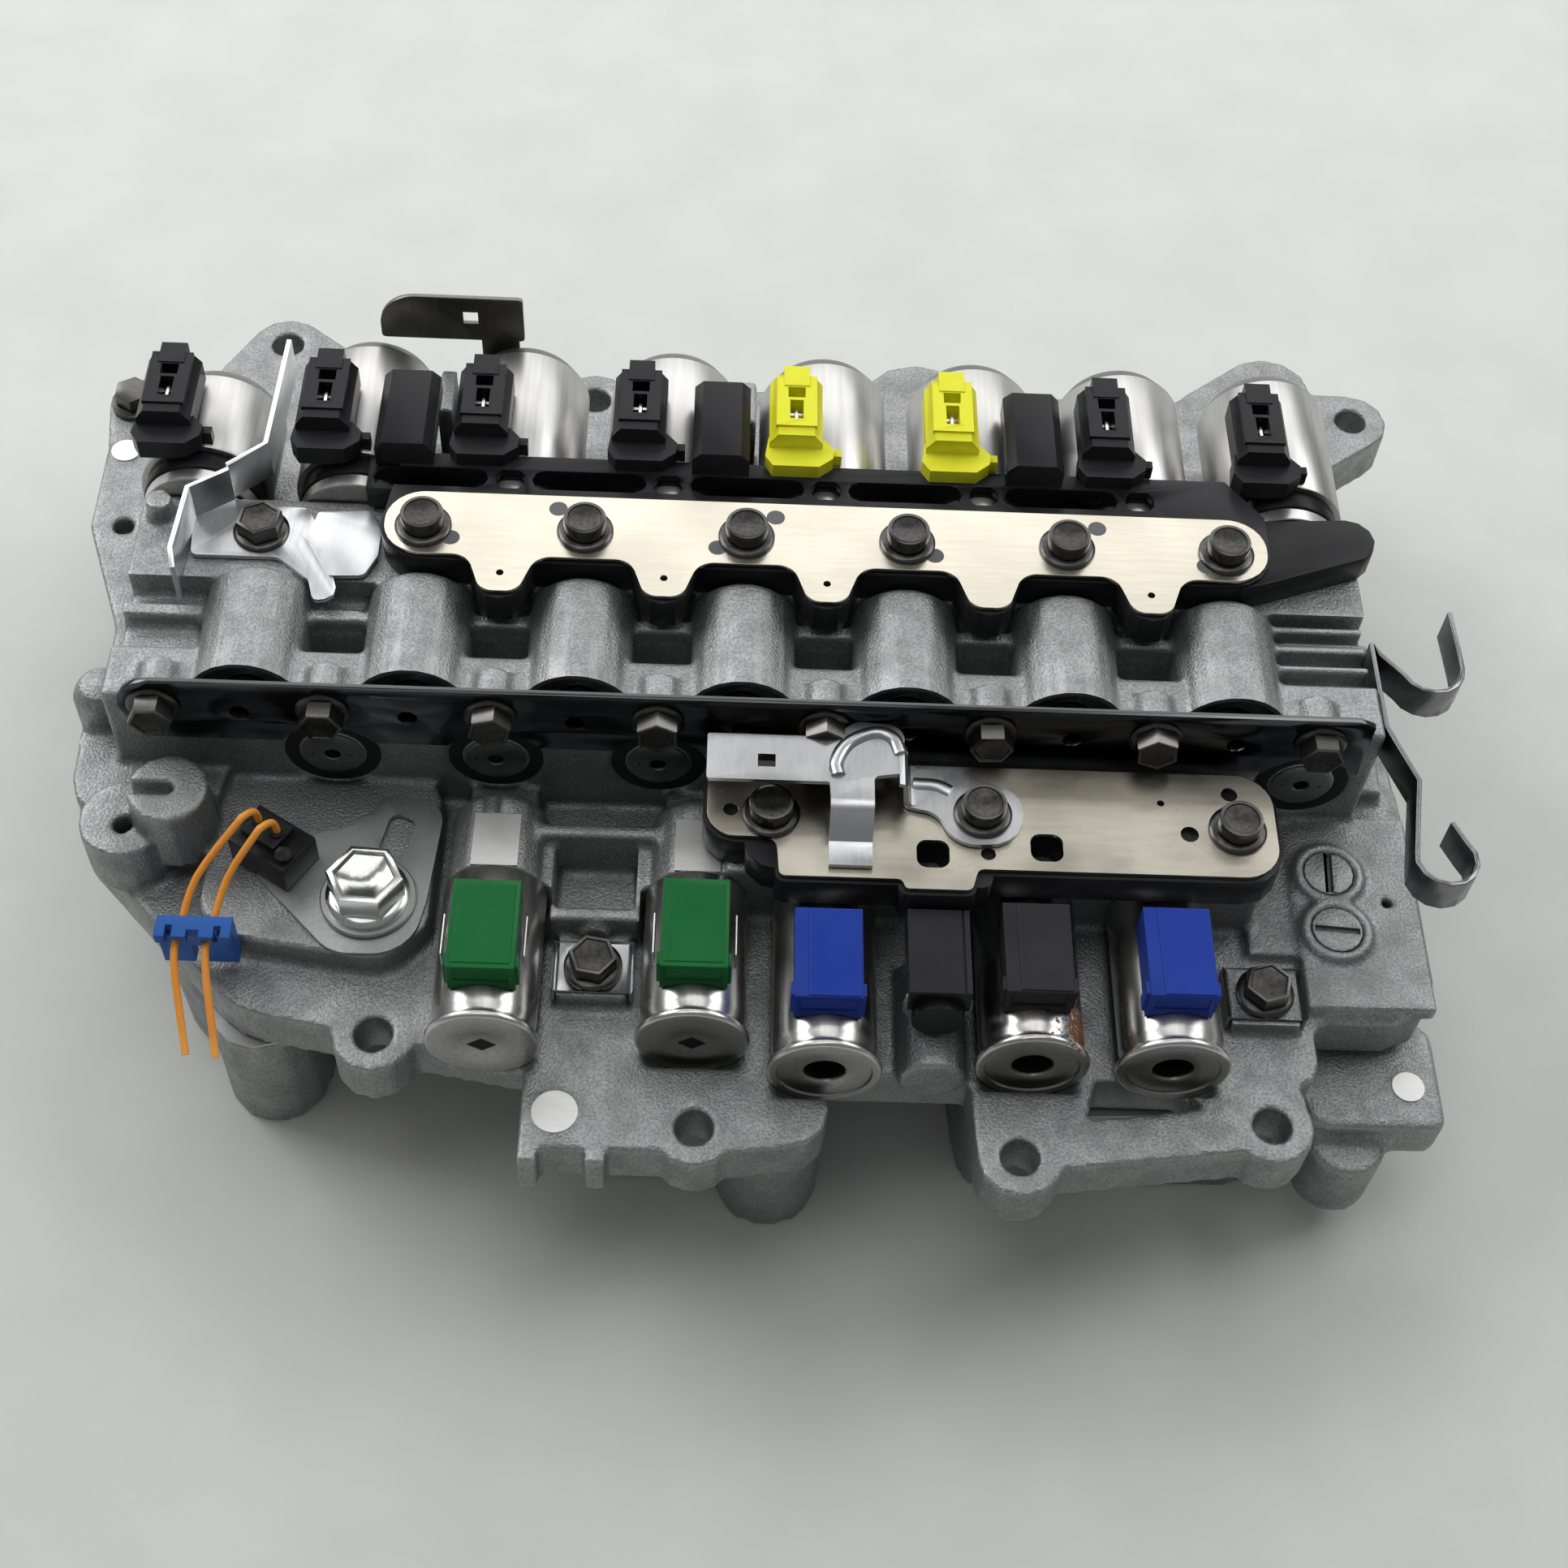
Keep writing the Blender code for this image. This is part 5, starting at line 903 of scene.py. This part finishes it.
def rusted():
    """The polished can with rust blooming on its right side and round the cap."""
    material, tree, shader, marks = new_material("rusted", (0.60, 0.59, 0.57), 1.0, 0.26, 740.0, 900.0,
                                                 (1.0, 0.05, 1.0))
    tone = mixed(tree, spread(tree, marks["Fine"], 0.0, 1.0), (0.60, 0.59, 0.57), (0.48, 0.475, 0.46))
    place = tree.nodes.new("ShaderNodeTexCoord")
    reach = tree.nodes.new("ShaderNodeVectorMath")
    reach.operation = "DISTANCE"
    reach.inputs[1].default_value = (0.0770, -0.1030, 0.0680)
    tree.links.new(place.outputs["Object"], reach.inputs[0])
    near = spread(tree, reach.outputs["Value"], 0.36, -0.20, 0.002, 0.019)
    bloom = tree.nodes.new("ShaderNodeMath")
    tree.links.new(near, bloom.inputs[0])
    tree.links.new(marks["Mottle"], bloom.inputs[1])
    rust = spread(tree, bloom.outputs["Value"], 0.0, 1.0, 0.72, 0.80)
    tree.links.new(mixed(tree, rust, tone, (0.22, 0.085, 0.024)), shader.inputs["Base Color"])
    tree.links.new(spread(tree, rust, 1.0, 0.1, 0.0, 1.0), shader.inputs["Metallic"])
    tree.links.new(spread(tree, rust, 0.26, 0.8, 0.0, 1.0), shader.inputs["Roughness"])
    roughen(tree, shader, rust, 0.0001, 0.6)
    return material


rusted_steel = rusted()
green_moulding = moulding("green_moulding", (0.0, 0.085, 0.016), (0.001, 0.105, 0.022), 0.24)
blue_moulding = moulding("blue_moulding", (0.004, 0.024, 0.21), (0.006, 0.032, 0.26), 0.22)
SOCKETS = ((green_moulding, "green_plastic"), (green_moulding, "green_plastic"),
           (blue_moulding, "blue_plastic"), (black_moulding, "black_plastic"), (blue_moulding, "blue_plastic"))
SOCKET_HALF, KEY_R = 0.0068, 0.0034
KEYED_ONES, RUSTED_ONE = (1, 2), 4
for number, (finish, slot) in enumerate(SOCKETS, 1):
    low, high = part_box(f"front_can_{number}")
    axis_x, axis_z = (low[0] + high[0]) / 2, (low[2] + high[2]) / 2
    cap, nose = low[1], high[1]
    back = nose - NOSE_LENGTH
    keyed = number in KEYED_ONES
    profile = [(0, nose), (0.0064, nose), (0.0067, nose - 0.0004), (0.0067, back), (0.01215, back),
               (0.01235, back - 0.0003), (0.01235, cap + 0.0062), (0.0122, cap + 0.0050),
               (0.0119, cap + 0.0036), (0.0119, cap + 0.0026), (0.0122, cap + 0.0020), (0.0130, cap + 0.0019),
               (0.0134, cap + 0.0016), (0.0135, cap + 0.0011), (0.0134, cap + 0.0006), (0.0131, cap + 0.0002),
               (0.0127, cap + 0.0001)]
    bands = [0] * 16
    if keyed:
        profile += [(0.0060, cap), (0.0056, cap + 0.0002), (0, cap + 0.0002)]
        bands += [1] * 3
    else:
        profile += [(0.0112, cap + 0.0001), (0.0109, cap + 0.0006), (0.0105, cap + 0.0005),
                    (0.0058, cap + 0.0005), (0.0050, cap + 0.0008), (0.00475, cap + 0.0014),
                    (0.00475, cap + 0.0050), (0, cap + 0.0050)]
        # The round hole's wall and floor take the painted hole shade.
        bands += [1] * 6 + [2] * 2
    can = lathed(f"front_can_{number}_shell", profile, 72, axis_x, axis_z, bands)
    for metal in (rusted_steel if number == RUSTED_ONE else polished, cap_metal, hole_shade):
        can.data.materials.append(metal)
    finish_as(can, polished, "solenoid_steel", f"front_can_{number}")
    if keyed:
        # The diamond key hole is a thin near-black plate laid on the cap: painted shade.
        corners = [(axis_x + KEY_R * cos(a), y, axis_z + KEY_R * sin(a) * 0.8)
                   for y in (cap + 0.0001, cap + 0.00025) for a in (0, pi / 2, pi, 3 * pi / 2)]
        sides = [(0, 1, 2, 3), (7, 6, 5, 4), (0, 4, 5, 1), (1, 5, 6, 2), (2, 6, 7, 3), (3, 7, 4, 0)]
        key_hole = eased(mesh_piece(f"key_hole_{number}", corners, sides), 0.0007, 3)
        finish_as(key_hole, hole_shade, "solenoid_steel")
    finish_as(softened(f"front_connector_{number}", 0.0006, steps=3), finish, slot, f"front_connector_{number}")
    low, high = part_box(f"front_connector_{number}")
    crown = high[2]
    plain = flat_box((axis_x - SOCKET_HALF, low[1] + 0.0003, crown - 0.0100),
                     (axis_x + SOCKET_HALF, low[1] + 0.0060, crown - 0.0009))
    finish_as(eased(mesh_piece(f"front_connector_{number}_end", *plain), 0.0005), finish, slot)
    if keyed:
        cover = flat_box((axis_x - SOCKET_HALF, low[1] + 0.0012, crown - 0.0006),
                         (axis_x + SOCKET_HALF, high[1] - 0.0014, crown + 0.00025))
        ears = [flat_box((axis_x + side * 0.0095 - 0.0003, low[1] + 0.0055, crown - 0.0096),
                         (axis_x + side * 0.0095 + 0.0003, low[1] + 0.0165, crown - 0.0034)) for side in (-1, 1)]
        finish_as(eased(mesh_piece(f"front_can_{number}_ears", *gathered(ears)), 0.00025), polished,
                  "solenoid_steel")
    else:
        cover = flat_box((axis_x - 0.0046, low[1] + 0.0003, crown - 0.0006),
                         (axis_x + 0.0075, high[1] - 0.0004, crown + 0.00035))
    finish_as(eased(mesh_piece(f"front_connector_{number}_cover", *cover), 0.0003), finish, slot)


# Lower contact plate
# A second stamped plate on a black housing, in front of the retaining plate.
# Two cup head bolts hold it at its ends. It has round eyes and two square windows.

LOW_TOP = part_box("lower_housing")[1][2] + SEAT_GAP + PLATE_T
LOW_EYES = ((-0.0050, -0.0546, 0.0018), (0.0560, -0.0651, 0.0018), (0.0983, -0.0489, 0.0009),
            (0.1045, -0.0577, 0.0022), (0.1152, -0.0457, 0.0020))
LOW_WINDOWS, WINDOW_HALF, WINDOW_R = ((0.0429, -0.0656), (0.0700, -0.0629)), 0.0039, 0.0025
finish_as(softened("lower_housing", 0.00025), black_moulding, "black_plastic", "lower_housing")
low_corners = [(-0.0106, -0.0400, 0.0075), (-0.0106, -0.0621, 0.0070), (0.0060, -0.0621, 0.0035),
               (0.0067, -0.0729, 0.0015), (0.0355, -0.0729, 0.0018), (0.0362, -0.0755, 0.0012),
               (0.0518, -0.0755, 0.0018), (0.0535, -0.0695, 0.0020), (0.1256, -0.0695, 0.0090),
               (0.1256, -0.0400, 0.0090)]
low_holes = [eye(x, y, radius, LOW_TOP) for x, y, radius in LOW_EYES]
low_holes += [slab(fillet([(x + across * WINDOW_HALF, y + along * WINDOW_HALF, WINDOW_R)
                           for across, along in ((-1, -1), (1, -1), (1, 1), (-1, 1))]),
                   LOW_TOP - 0.0030, LOW_TOP + 0.0020) for x, y in LOW_WINDOWS]
low_plate = united("lower_plate_sheet", [slab(fillet(low_corners, 8), LOW_TOP - PLATE_T, LOW_TOP)], low_holes)
finish_as(eased(low_plate, 0.00015), contact_metal, "contact_plate", "lower_contact_plate")
finish_as(bolts("lower_plate_bolts", [(0.0046, -0.0557, LOW_TOP - 0.0001), (0.1161, -0.0563, LOW_TOP - 0.0001)],
                **CUP_BOLT, seed=8), black_steel, "dark_steel")


# Folded clip on the lower plate
# Zinc plated sheet with a pressed bead: a flat arm, a hump, a strap to a foot, and a tail.
# A third cup head bolt holds the tail down on the lower contact plate.

zinc_sheet = drawn_metal("zinc_sheet", (0.50, 0.51, 0.52), (0.40, 0.41, 0.42), 0.26, (1.0, 0.2, 1.0))
CLIP_T = 0.0012


def folded(section, near, far, along_x):
    """A sheet of the clip's thickness that follows a path of (across, height) points."""
    upper, lower = [], []
    for i, (a, z) in enumerate(section):
        before, after = section[max(i - 1, 0)], section[min(i + 1, len(section) - 1)]
        along = Vector((after[0] - before[0], after[1] - before[1])).normalized()
        upper.append((a, z))
        lower.append((a + along.y * CLIP_T, z - along.x * CLIP_T))
    outline = upper + lower[::-1]
    points, faces = slab(outline, near, far)
    if along_x:
        return [(a, y, z) for a, z, y in points], faces
    return [(x, a, z) for a, z, x in points], faces


HIGH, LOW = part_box("clip_bracket")[1][2], LOW_TOP + SEAT_GAP + CLIP_T
arm_outline = fillet([(-0.0110, -0.0530, 0.0006), (0.0180, -0.0530, 0.0006), (0.0182, -0.0577, 0.0001),
                      (0.0285, -0.0577, 0.0001), (0.0285, -0.0510, 0.0015), (0.0350, -0.0500, 0.0006),
                      (0.0362, -0.0360, 0.0042), (0.0245, -0.0350, 0.0040), (0.0185, -0.0398, 0.0040),
                      (-0.0110, -0.0398, 0.0006)])
tail_outline = fillet([(0.0362, -0.0530, 0.0015), (0.0362, -0.0425, 0.0015), (0.0505, -0.0415, 0.0060),
                       (0.0560, -0.0455, 0.0030), (0.0645, -0.0480, 0.0070), (0.0645, -0.0630, 0.0085),
                       (0.0480, -0.0640, 0.0080), (0.0440, -0.0545, 0.0060), (0.0400, -0.0540, 0.0020)])
strap = [(-0.0575, HIGH), (-0.0592, HIGH - 0.0002), (-0.0604, HIGH - 0.0010), (-0.0634, LOW + 0.0014),
         (-0.0642, LOW + 0.0004), (-0.0655, LOW), (-0.0705, LOW)]
fall = [(0.0345, HIGH), (0.0358, HIGH - 0.0003), (0.0366, HIGH - 0.0012), (0.0372, LOW + 0.0014),
        (0.0380, LOW + 0.0003), (0.0392, LOW)]
clip_shapes = [slab(arm_outline, HIGH - CLIP_T, HIGH), slab(tail_outline, LOW - CLIP_T, LOW),
               folded(strap[::-1], 0.0182, 0.0285, False), folded(fall, -0.0530, -0.0415, True)]
hole = flat_box((0.0010, -0.0492, HIGH - 0.0030), (0.0052, -0.0455, HIGH + 0.0010))
clip = pierced(mesh_piece("clip_sheet", *gathered(clip_shapes)), [hole], self_crossing=True)
finish_as(eased(clip, 0.00022), zinc_sheet, "bracket_steel", "clip_bracket")


def bead(name, knots, radius, height, material, slot):
    """A pressed bead: a round rod sunk into the sheet for most of its depth."""
    points = smooth_route([(x, y, z - radius + height) for x, y, z in knots], 6)
    piece = link(bpy.data.objects.new(name, round_bar(name, radius, 5, points)))
    shape = bpy.data.meshes.new_from_object(piece.evaluated_get(bpy.context.evaluated_depsgraph_get()))
    bpy.data.objects.remove(piece)
    shape.shade_smooth()
    return finish_as(link(bpy.data.objects.new(name, shape)), material, slot)


bead("clip_bead", [(0.0200, -0.0510, HIGH), (0.0196, -0.0470, HIGH), (0.0225, -0.0415, HIGH),
                   (0.0285, -0.0382, HIGH), (0.0330, -0.0395, HIGH), (0.0348, -0.0440, HIGH - 0.0003)],
     0.0021, 0.0012, zinc_sheet, "bracket_steel")
bead("tail_bead", [(0.0385, -0.0465, LOW), (0.0440, -0.0468, LOW), (0.0475, -0.0485, LOW)],
     0.0024, 0.0009, zinc_sheet, "bracket_steel")
finish_as(bolts("clip_bolt", [(0.0549, -0.0549, LOW - 0.0001)], **CUP_BOLT, seed=11), black_steel, "dark_steel")


# Brackets, clips and hooks
# Pressed sheet parts, zinc plated or phosphated, held by black hexagon flange bolts.
# The hooks at the right end are spring steel. Two cast plugs with a slot close bores beside them.

bright_sheet = drawn_metal("bright_sheet", (0.62, 0.63, 0.64), (0.52, 0.53, 0.54), 0.30, (1.0, 0.2, 1.0))
LEFT_AT = Vector((-0.1245, 0.0185))
LEFT_T, LEFT_LEG = 0.0011, 0.0141
head_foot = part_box("left_bracket")[0][2] + LEFT_LEG + 0.0012
finish_as(bared("left_bracket", 0.00020, lambda at: at.z > head_foot and (at.xy - LEFT_AT).length < 0.0072),
          bright_sheet, "bracket_steel", "left_bracket")
finish_as(bolts("left_bolt", [(*LEFT_AT, deck + 0.0392 + SEAT_GAP + LEFT_T)], **HEX_BOLT, seed=2),
          black_steel, "dark_steel")
CLIP_HEAD = 0.0058  # the bolt's head and flange over the clip
for number, finish, slot in ((1, bright_sheet, "bracket_steel"), (2, cast_metal, "cast_aluminium")):
    low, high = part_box(f"retaining_clip_{number}")
    middle = Vector(((low[0] + high[0]) / 2, (low[1] + high[1]) / 2))
    face = high[2] - CLIP_HEAD
    finish_as(bared(f"retaining_clip_{number}", 0.0005, lambda at: at.z > face + 0.0001), finish, slot,
              f"retaining_clip_{number}")
    finish_as(bolts(f"clip_bolt_{number}", [(*middle, face - 0.0001)], **HEX_BOLT, seed=20 + number),
              black_steel, "dark_steel")
tab_steel = drawn_metal("tab_steel", (0.17, 0.165, 0.16), (0.13, 0.125, 0.12), 0.36, (1.0, 1.0, 0.2))
tab_low, tab_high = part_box("rear_tab_bracket")
TAB_R = 0.0100
round_end = [(tab_low[0] - 0.001, tab_high[2] + 0.001), (tab_low[0] - 0.001, tab_high[2] - TAB_R)]
round_end += [(tab_low[0] + TAB_R * (1 - cos(k * pi / 24)), tab_high[2] - TAB_R * (1 - sin(k * pi / 24)))
              for k in range(13)]
round_end.append((tab_low[0] + TAB_R, tab_high[2] + 0.001))
tab_cut = along_y(round_end, tab_low[1] - 0.01, tab_high[1] + 0.01)
finish_as(softened("rear_tab_bracket", 0.00025, cuts=[tab_cut]), tab_steel, "dark_steel", "rear_tab_bracket")
finish_as(softened("rear_flange_bolt", 0.00020), black_steel, "dark_steel", "rear_flange_bolt")
spring_steel = drawn_metal("spring_steel", (0.20, 0.20, 0.205), (0.13, 0.13, 0.135), 0.24, (1.0, 1.0, 0.1))
finish_as(softened("hook_bracket", 0.00020, angle=45.0), spring_steel, "spring_steel", "hook_bracket")
for number, turn in ((1, 74.0), (2, -28.0)):  # how far each slot is turned, in degrees
    low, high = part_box(f"slotted_plug_{number}")
    middle = Vector(((low[0] + high[0]) / 2, (low[1] + high[1]) / 2, 0))
    plug = softened(f"slotted_plug_{number}", 0.00030)
    plug.data.transform(Matrix.Translation(middle) @ Matrix.Rotation(radians(turn), 4, "Z")
                        @ Matrix.Translation(-middle))
    finish_as(plug, cast_metal, "zinc", f"slotted_plug_{number}")


# Sensor group
# A black moulded temperature sensor, held by a forked sheet bracket of dull zinc.
# A large bright zinc bolt with a washer clamps the bracket. Two thin dark discs of painted shade stand for the
# holes that let the wires in.

low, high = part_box("sensor_bolt")
BOLT_AT = Vector(((low[0] + high[0]) / 2, (low[1] + high[1]) / 2))
sheet_low, sheet_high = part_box("sensor_bracket")
fork_outline = fillet([(-0.1225, -0.0600, 0.0060), (-0.1060, -0.0500, 0.0040), (-0.0965, -0.0520, 0.0120),
                       (-0.0905, -0.0390, 0.0040), (-0.0750, -0.0400, 0.0075), (-0.0772, -0.0700, 0.0200),
                       (-0.0800, -0.0850, 0.0110), (-0.0985, -0.0850, 0.0100)], 6)
fork_window = fillet([(-0.0880, -0.0440, 0.0022), (-0.0818, -0.0470, 0.0022), (-0.0838, -0.0575, 0.0022),
                      (-0.0905, -0.0560, 0.0022)])
fork = mesh_piece("sensor_fork", *slab(fork_outline, sheet_low[2], sheet_high[2]))
pierced(fork, [slab(fork_window, sheet_low[2] - 0.0010, sheet_high[2] + 0.0010)])
matt_zinc = drawn_metal("matt_zinc", (0.36, 0.365, 0.365), (0.27, 0.275, 0.275), 0.40, (1.0, 1.0, 1.0))
finish_as(eased(fork, 0.0003), matt_zinc, "bracket_steel", "sensor_bracket")
bright_zinc = drawn_metal("bright_zinc", (0.66, 0.68, 0.66), (0.54, 0.56, 0.54), 0.17, (1.0, 1.0, 1.0))
base = sheet_high[2]
washer = [(0.0030, base + 0.0001), (0.0112, base + 0.0001), (0.0115, base + 0.0004), (0.0115, base + 0.0011),
          (0.0112, base + 0.0014), (0.0030, base + 0.0014)]
ring = lathed("sensor_washer", washer, 64, 0.0, 0.0)
for vertex in ring.data.vertices:  # from an axis along Y to one that stands at the bolt
    x, y, z = vertex.co
    vertex.co = (BOLT_AT.x + x, BOLT_AT.y + z, y)
ring.data.flip_normals()
finish_as(ring, matt_zinc, "zinc")
finish_as(bolts("sensor_bolt_head", [(*BOLT_AT, base + 0.0014)], sides=6, flange=(0.0100, 0.0022),
                head=(0.0092, 0.0075), dish=0.0030, seed=31, finish=bright_zinc),
          bright_zinc, "zinc", "sensor_bolt")
finish_as(softened("temperature_sensor", 0.0005), black_moulding, "black_plastic", "temperature_sensor")
# Painted shade: a thin dark disc at each wire exit.
exits = [(route[0][0], route[0][1], route[0][2] + 0.0001) for route in WIRE_ROUTES.values()]
finish_as(grown("wire_holes", exits, ROUND_PADS, {"Thickness": 0.0005, "Material": hole_shade}, "pad_radius",
                [0.0019] * len(exits)), hole_shade, "black_plastic")


# Centre switch
# A black moulded pressure switch between the blue and the black valve, pushed into the casting.
# It has a round snout, with a zinc ring round its neck.

SWITCH_X, SWITCH_TOP, SWITCH_HALF, SNOUT_R = 0.04425, 0.08005, 0.00725, 0.0062
snout_height = SWITCH_TOP - 0.00885
switch_shapes = [flat_box((SWITCH_X - SWITCH_HALF, -0.1005, SWITCH_TOP - 0.0080),
                          (SWITCH_X + SWITCH_HALF, -0.0780, SWITCH_TOP)),
                 flat_box((SWITCH_X - SNOUT_R, -0.0925, SWITCH_TOP - 0.0150),
                          (SWITCH_X + SNOUT_R, -0.0790, SWITCH_TOP - 0.0070)),
                 along_y(arc(SWITCH_X, snout_height, SNOUT_R, 36, 18), -0.1030, -0.0905)]
groove = flat_box((SWITCH_X + 0.0054, -0.1020, SWITCH_TOP - 0.0007),
                  (SWITCH_X + 0.0060, -0.0770, SWITCH_TOP + 0.0010))
finish_as(eased(united("centre_switch_body", switch_shapes, [groove]), 0.0006), black_moulding, "black_plastic",
          "centre_switch")
ring_profile = [(0.0064, -0.0992), (0.0080, -0.0992), (0.0083, -0.0989), (0.0083, -0.0980), (0.0080, -0.0977),
                (0.0064, -0.0977)]
finish_as(lathed("centre_switch_ring", ring_profile, 48, SWITCH_X, snout_height), zinc_sheet, "zinc")


# Stage and light
# A plain pale table with a faint mottle. The light is a wide soft window behind the unit, a dim
# ceiling, and a soft lamp at the rear left and the rear right.

TABLE_HALF = 3
floor_mesh = bpy.data.meshes.new("table")
table_corners = [(x * TABLE_HALF, y * TABLE_HALF, 0) for x, y in ((-1, -1), (1, -1), (1, 1), (-1, 1))]
floor_mesh.from_pydata(table_corners, [], [(0, 1, 2, 3)])
table = link(bpy.data.objects.new("table", floor_mesh))
table_paint, tree, shader, marks = new_material("table_paint", (0.66, 0.67, 0.64), 0.0, 0.6, 28.0, 1200.0)
paint_mottle = spread(tree, marks["Mottle"], 0.0, 1.0, 0.35, 0.65)
tree.links.new(mixed(tree, paint_mottle, (0.65, 0.66, 0.63), (0.69, 0.70, 0.67)), shader.inputs["Base Color"])
roughen(tree, shader, marks["Fine"], 0.00004)
floor_mesh.materials.append(table_paint)


def soft_lamp(name, place, target, size, power):
    """A rectangular area lamp that faces its target."""
    lamp = bpy.data.lights.new(name, "AREA")
    lamp.shape = "RECTANGLE"
    lamp.size, lamp.size_y = size
    lamp.energy = power
    thing = link(bpy.data.objects.new(name, lamp))
    thing.location = place
    thing.rotation_euler = (Vector(target) - Vector(place)).to_track_quat("-Z", "Y").to_euler()


soft_lamp("back_window", (-0.20, 1.30, 0.95), (0, 0, 0.08), (3.0, 1.15), 18.5)
soft_lamp("ceiling", (-0.05, 0.10, 1.55), (0, 0, 0), (1.5, 0.70), 5.0)
soft_lamp("left_rear", (-1.25, 0.65, 1.25), (0, 0, 0.05), (0.9, 0.7), 9.5)
soft_lamp("right_rear", (1.25, 0.60, 1.20), (0, 0, 0.05), (0.9, 0.7), 7.0)
world = bpy.data.worlds.new("studio")
world.use_nodes = True
world.node_tree.nodes["Background"].inputs["Color"].default_value = (0.80, 0.82, 0.83, 1.0)
world.node_tree.nodes["Background"].inputs["Strength"].default_value = 0.26
bpy.context.scene.world = world
bpy.context.scene.view_settings.view_transform = "Standard"
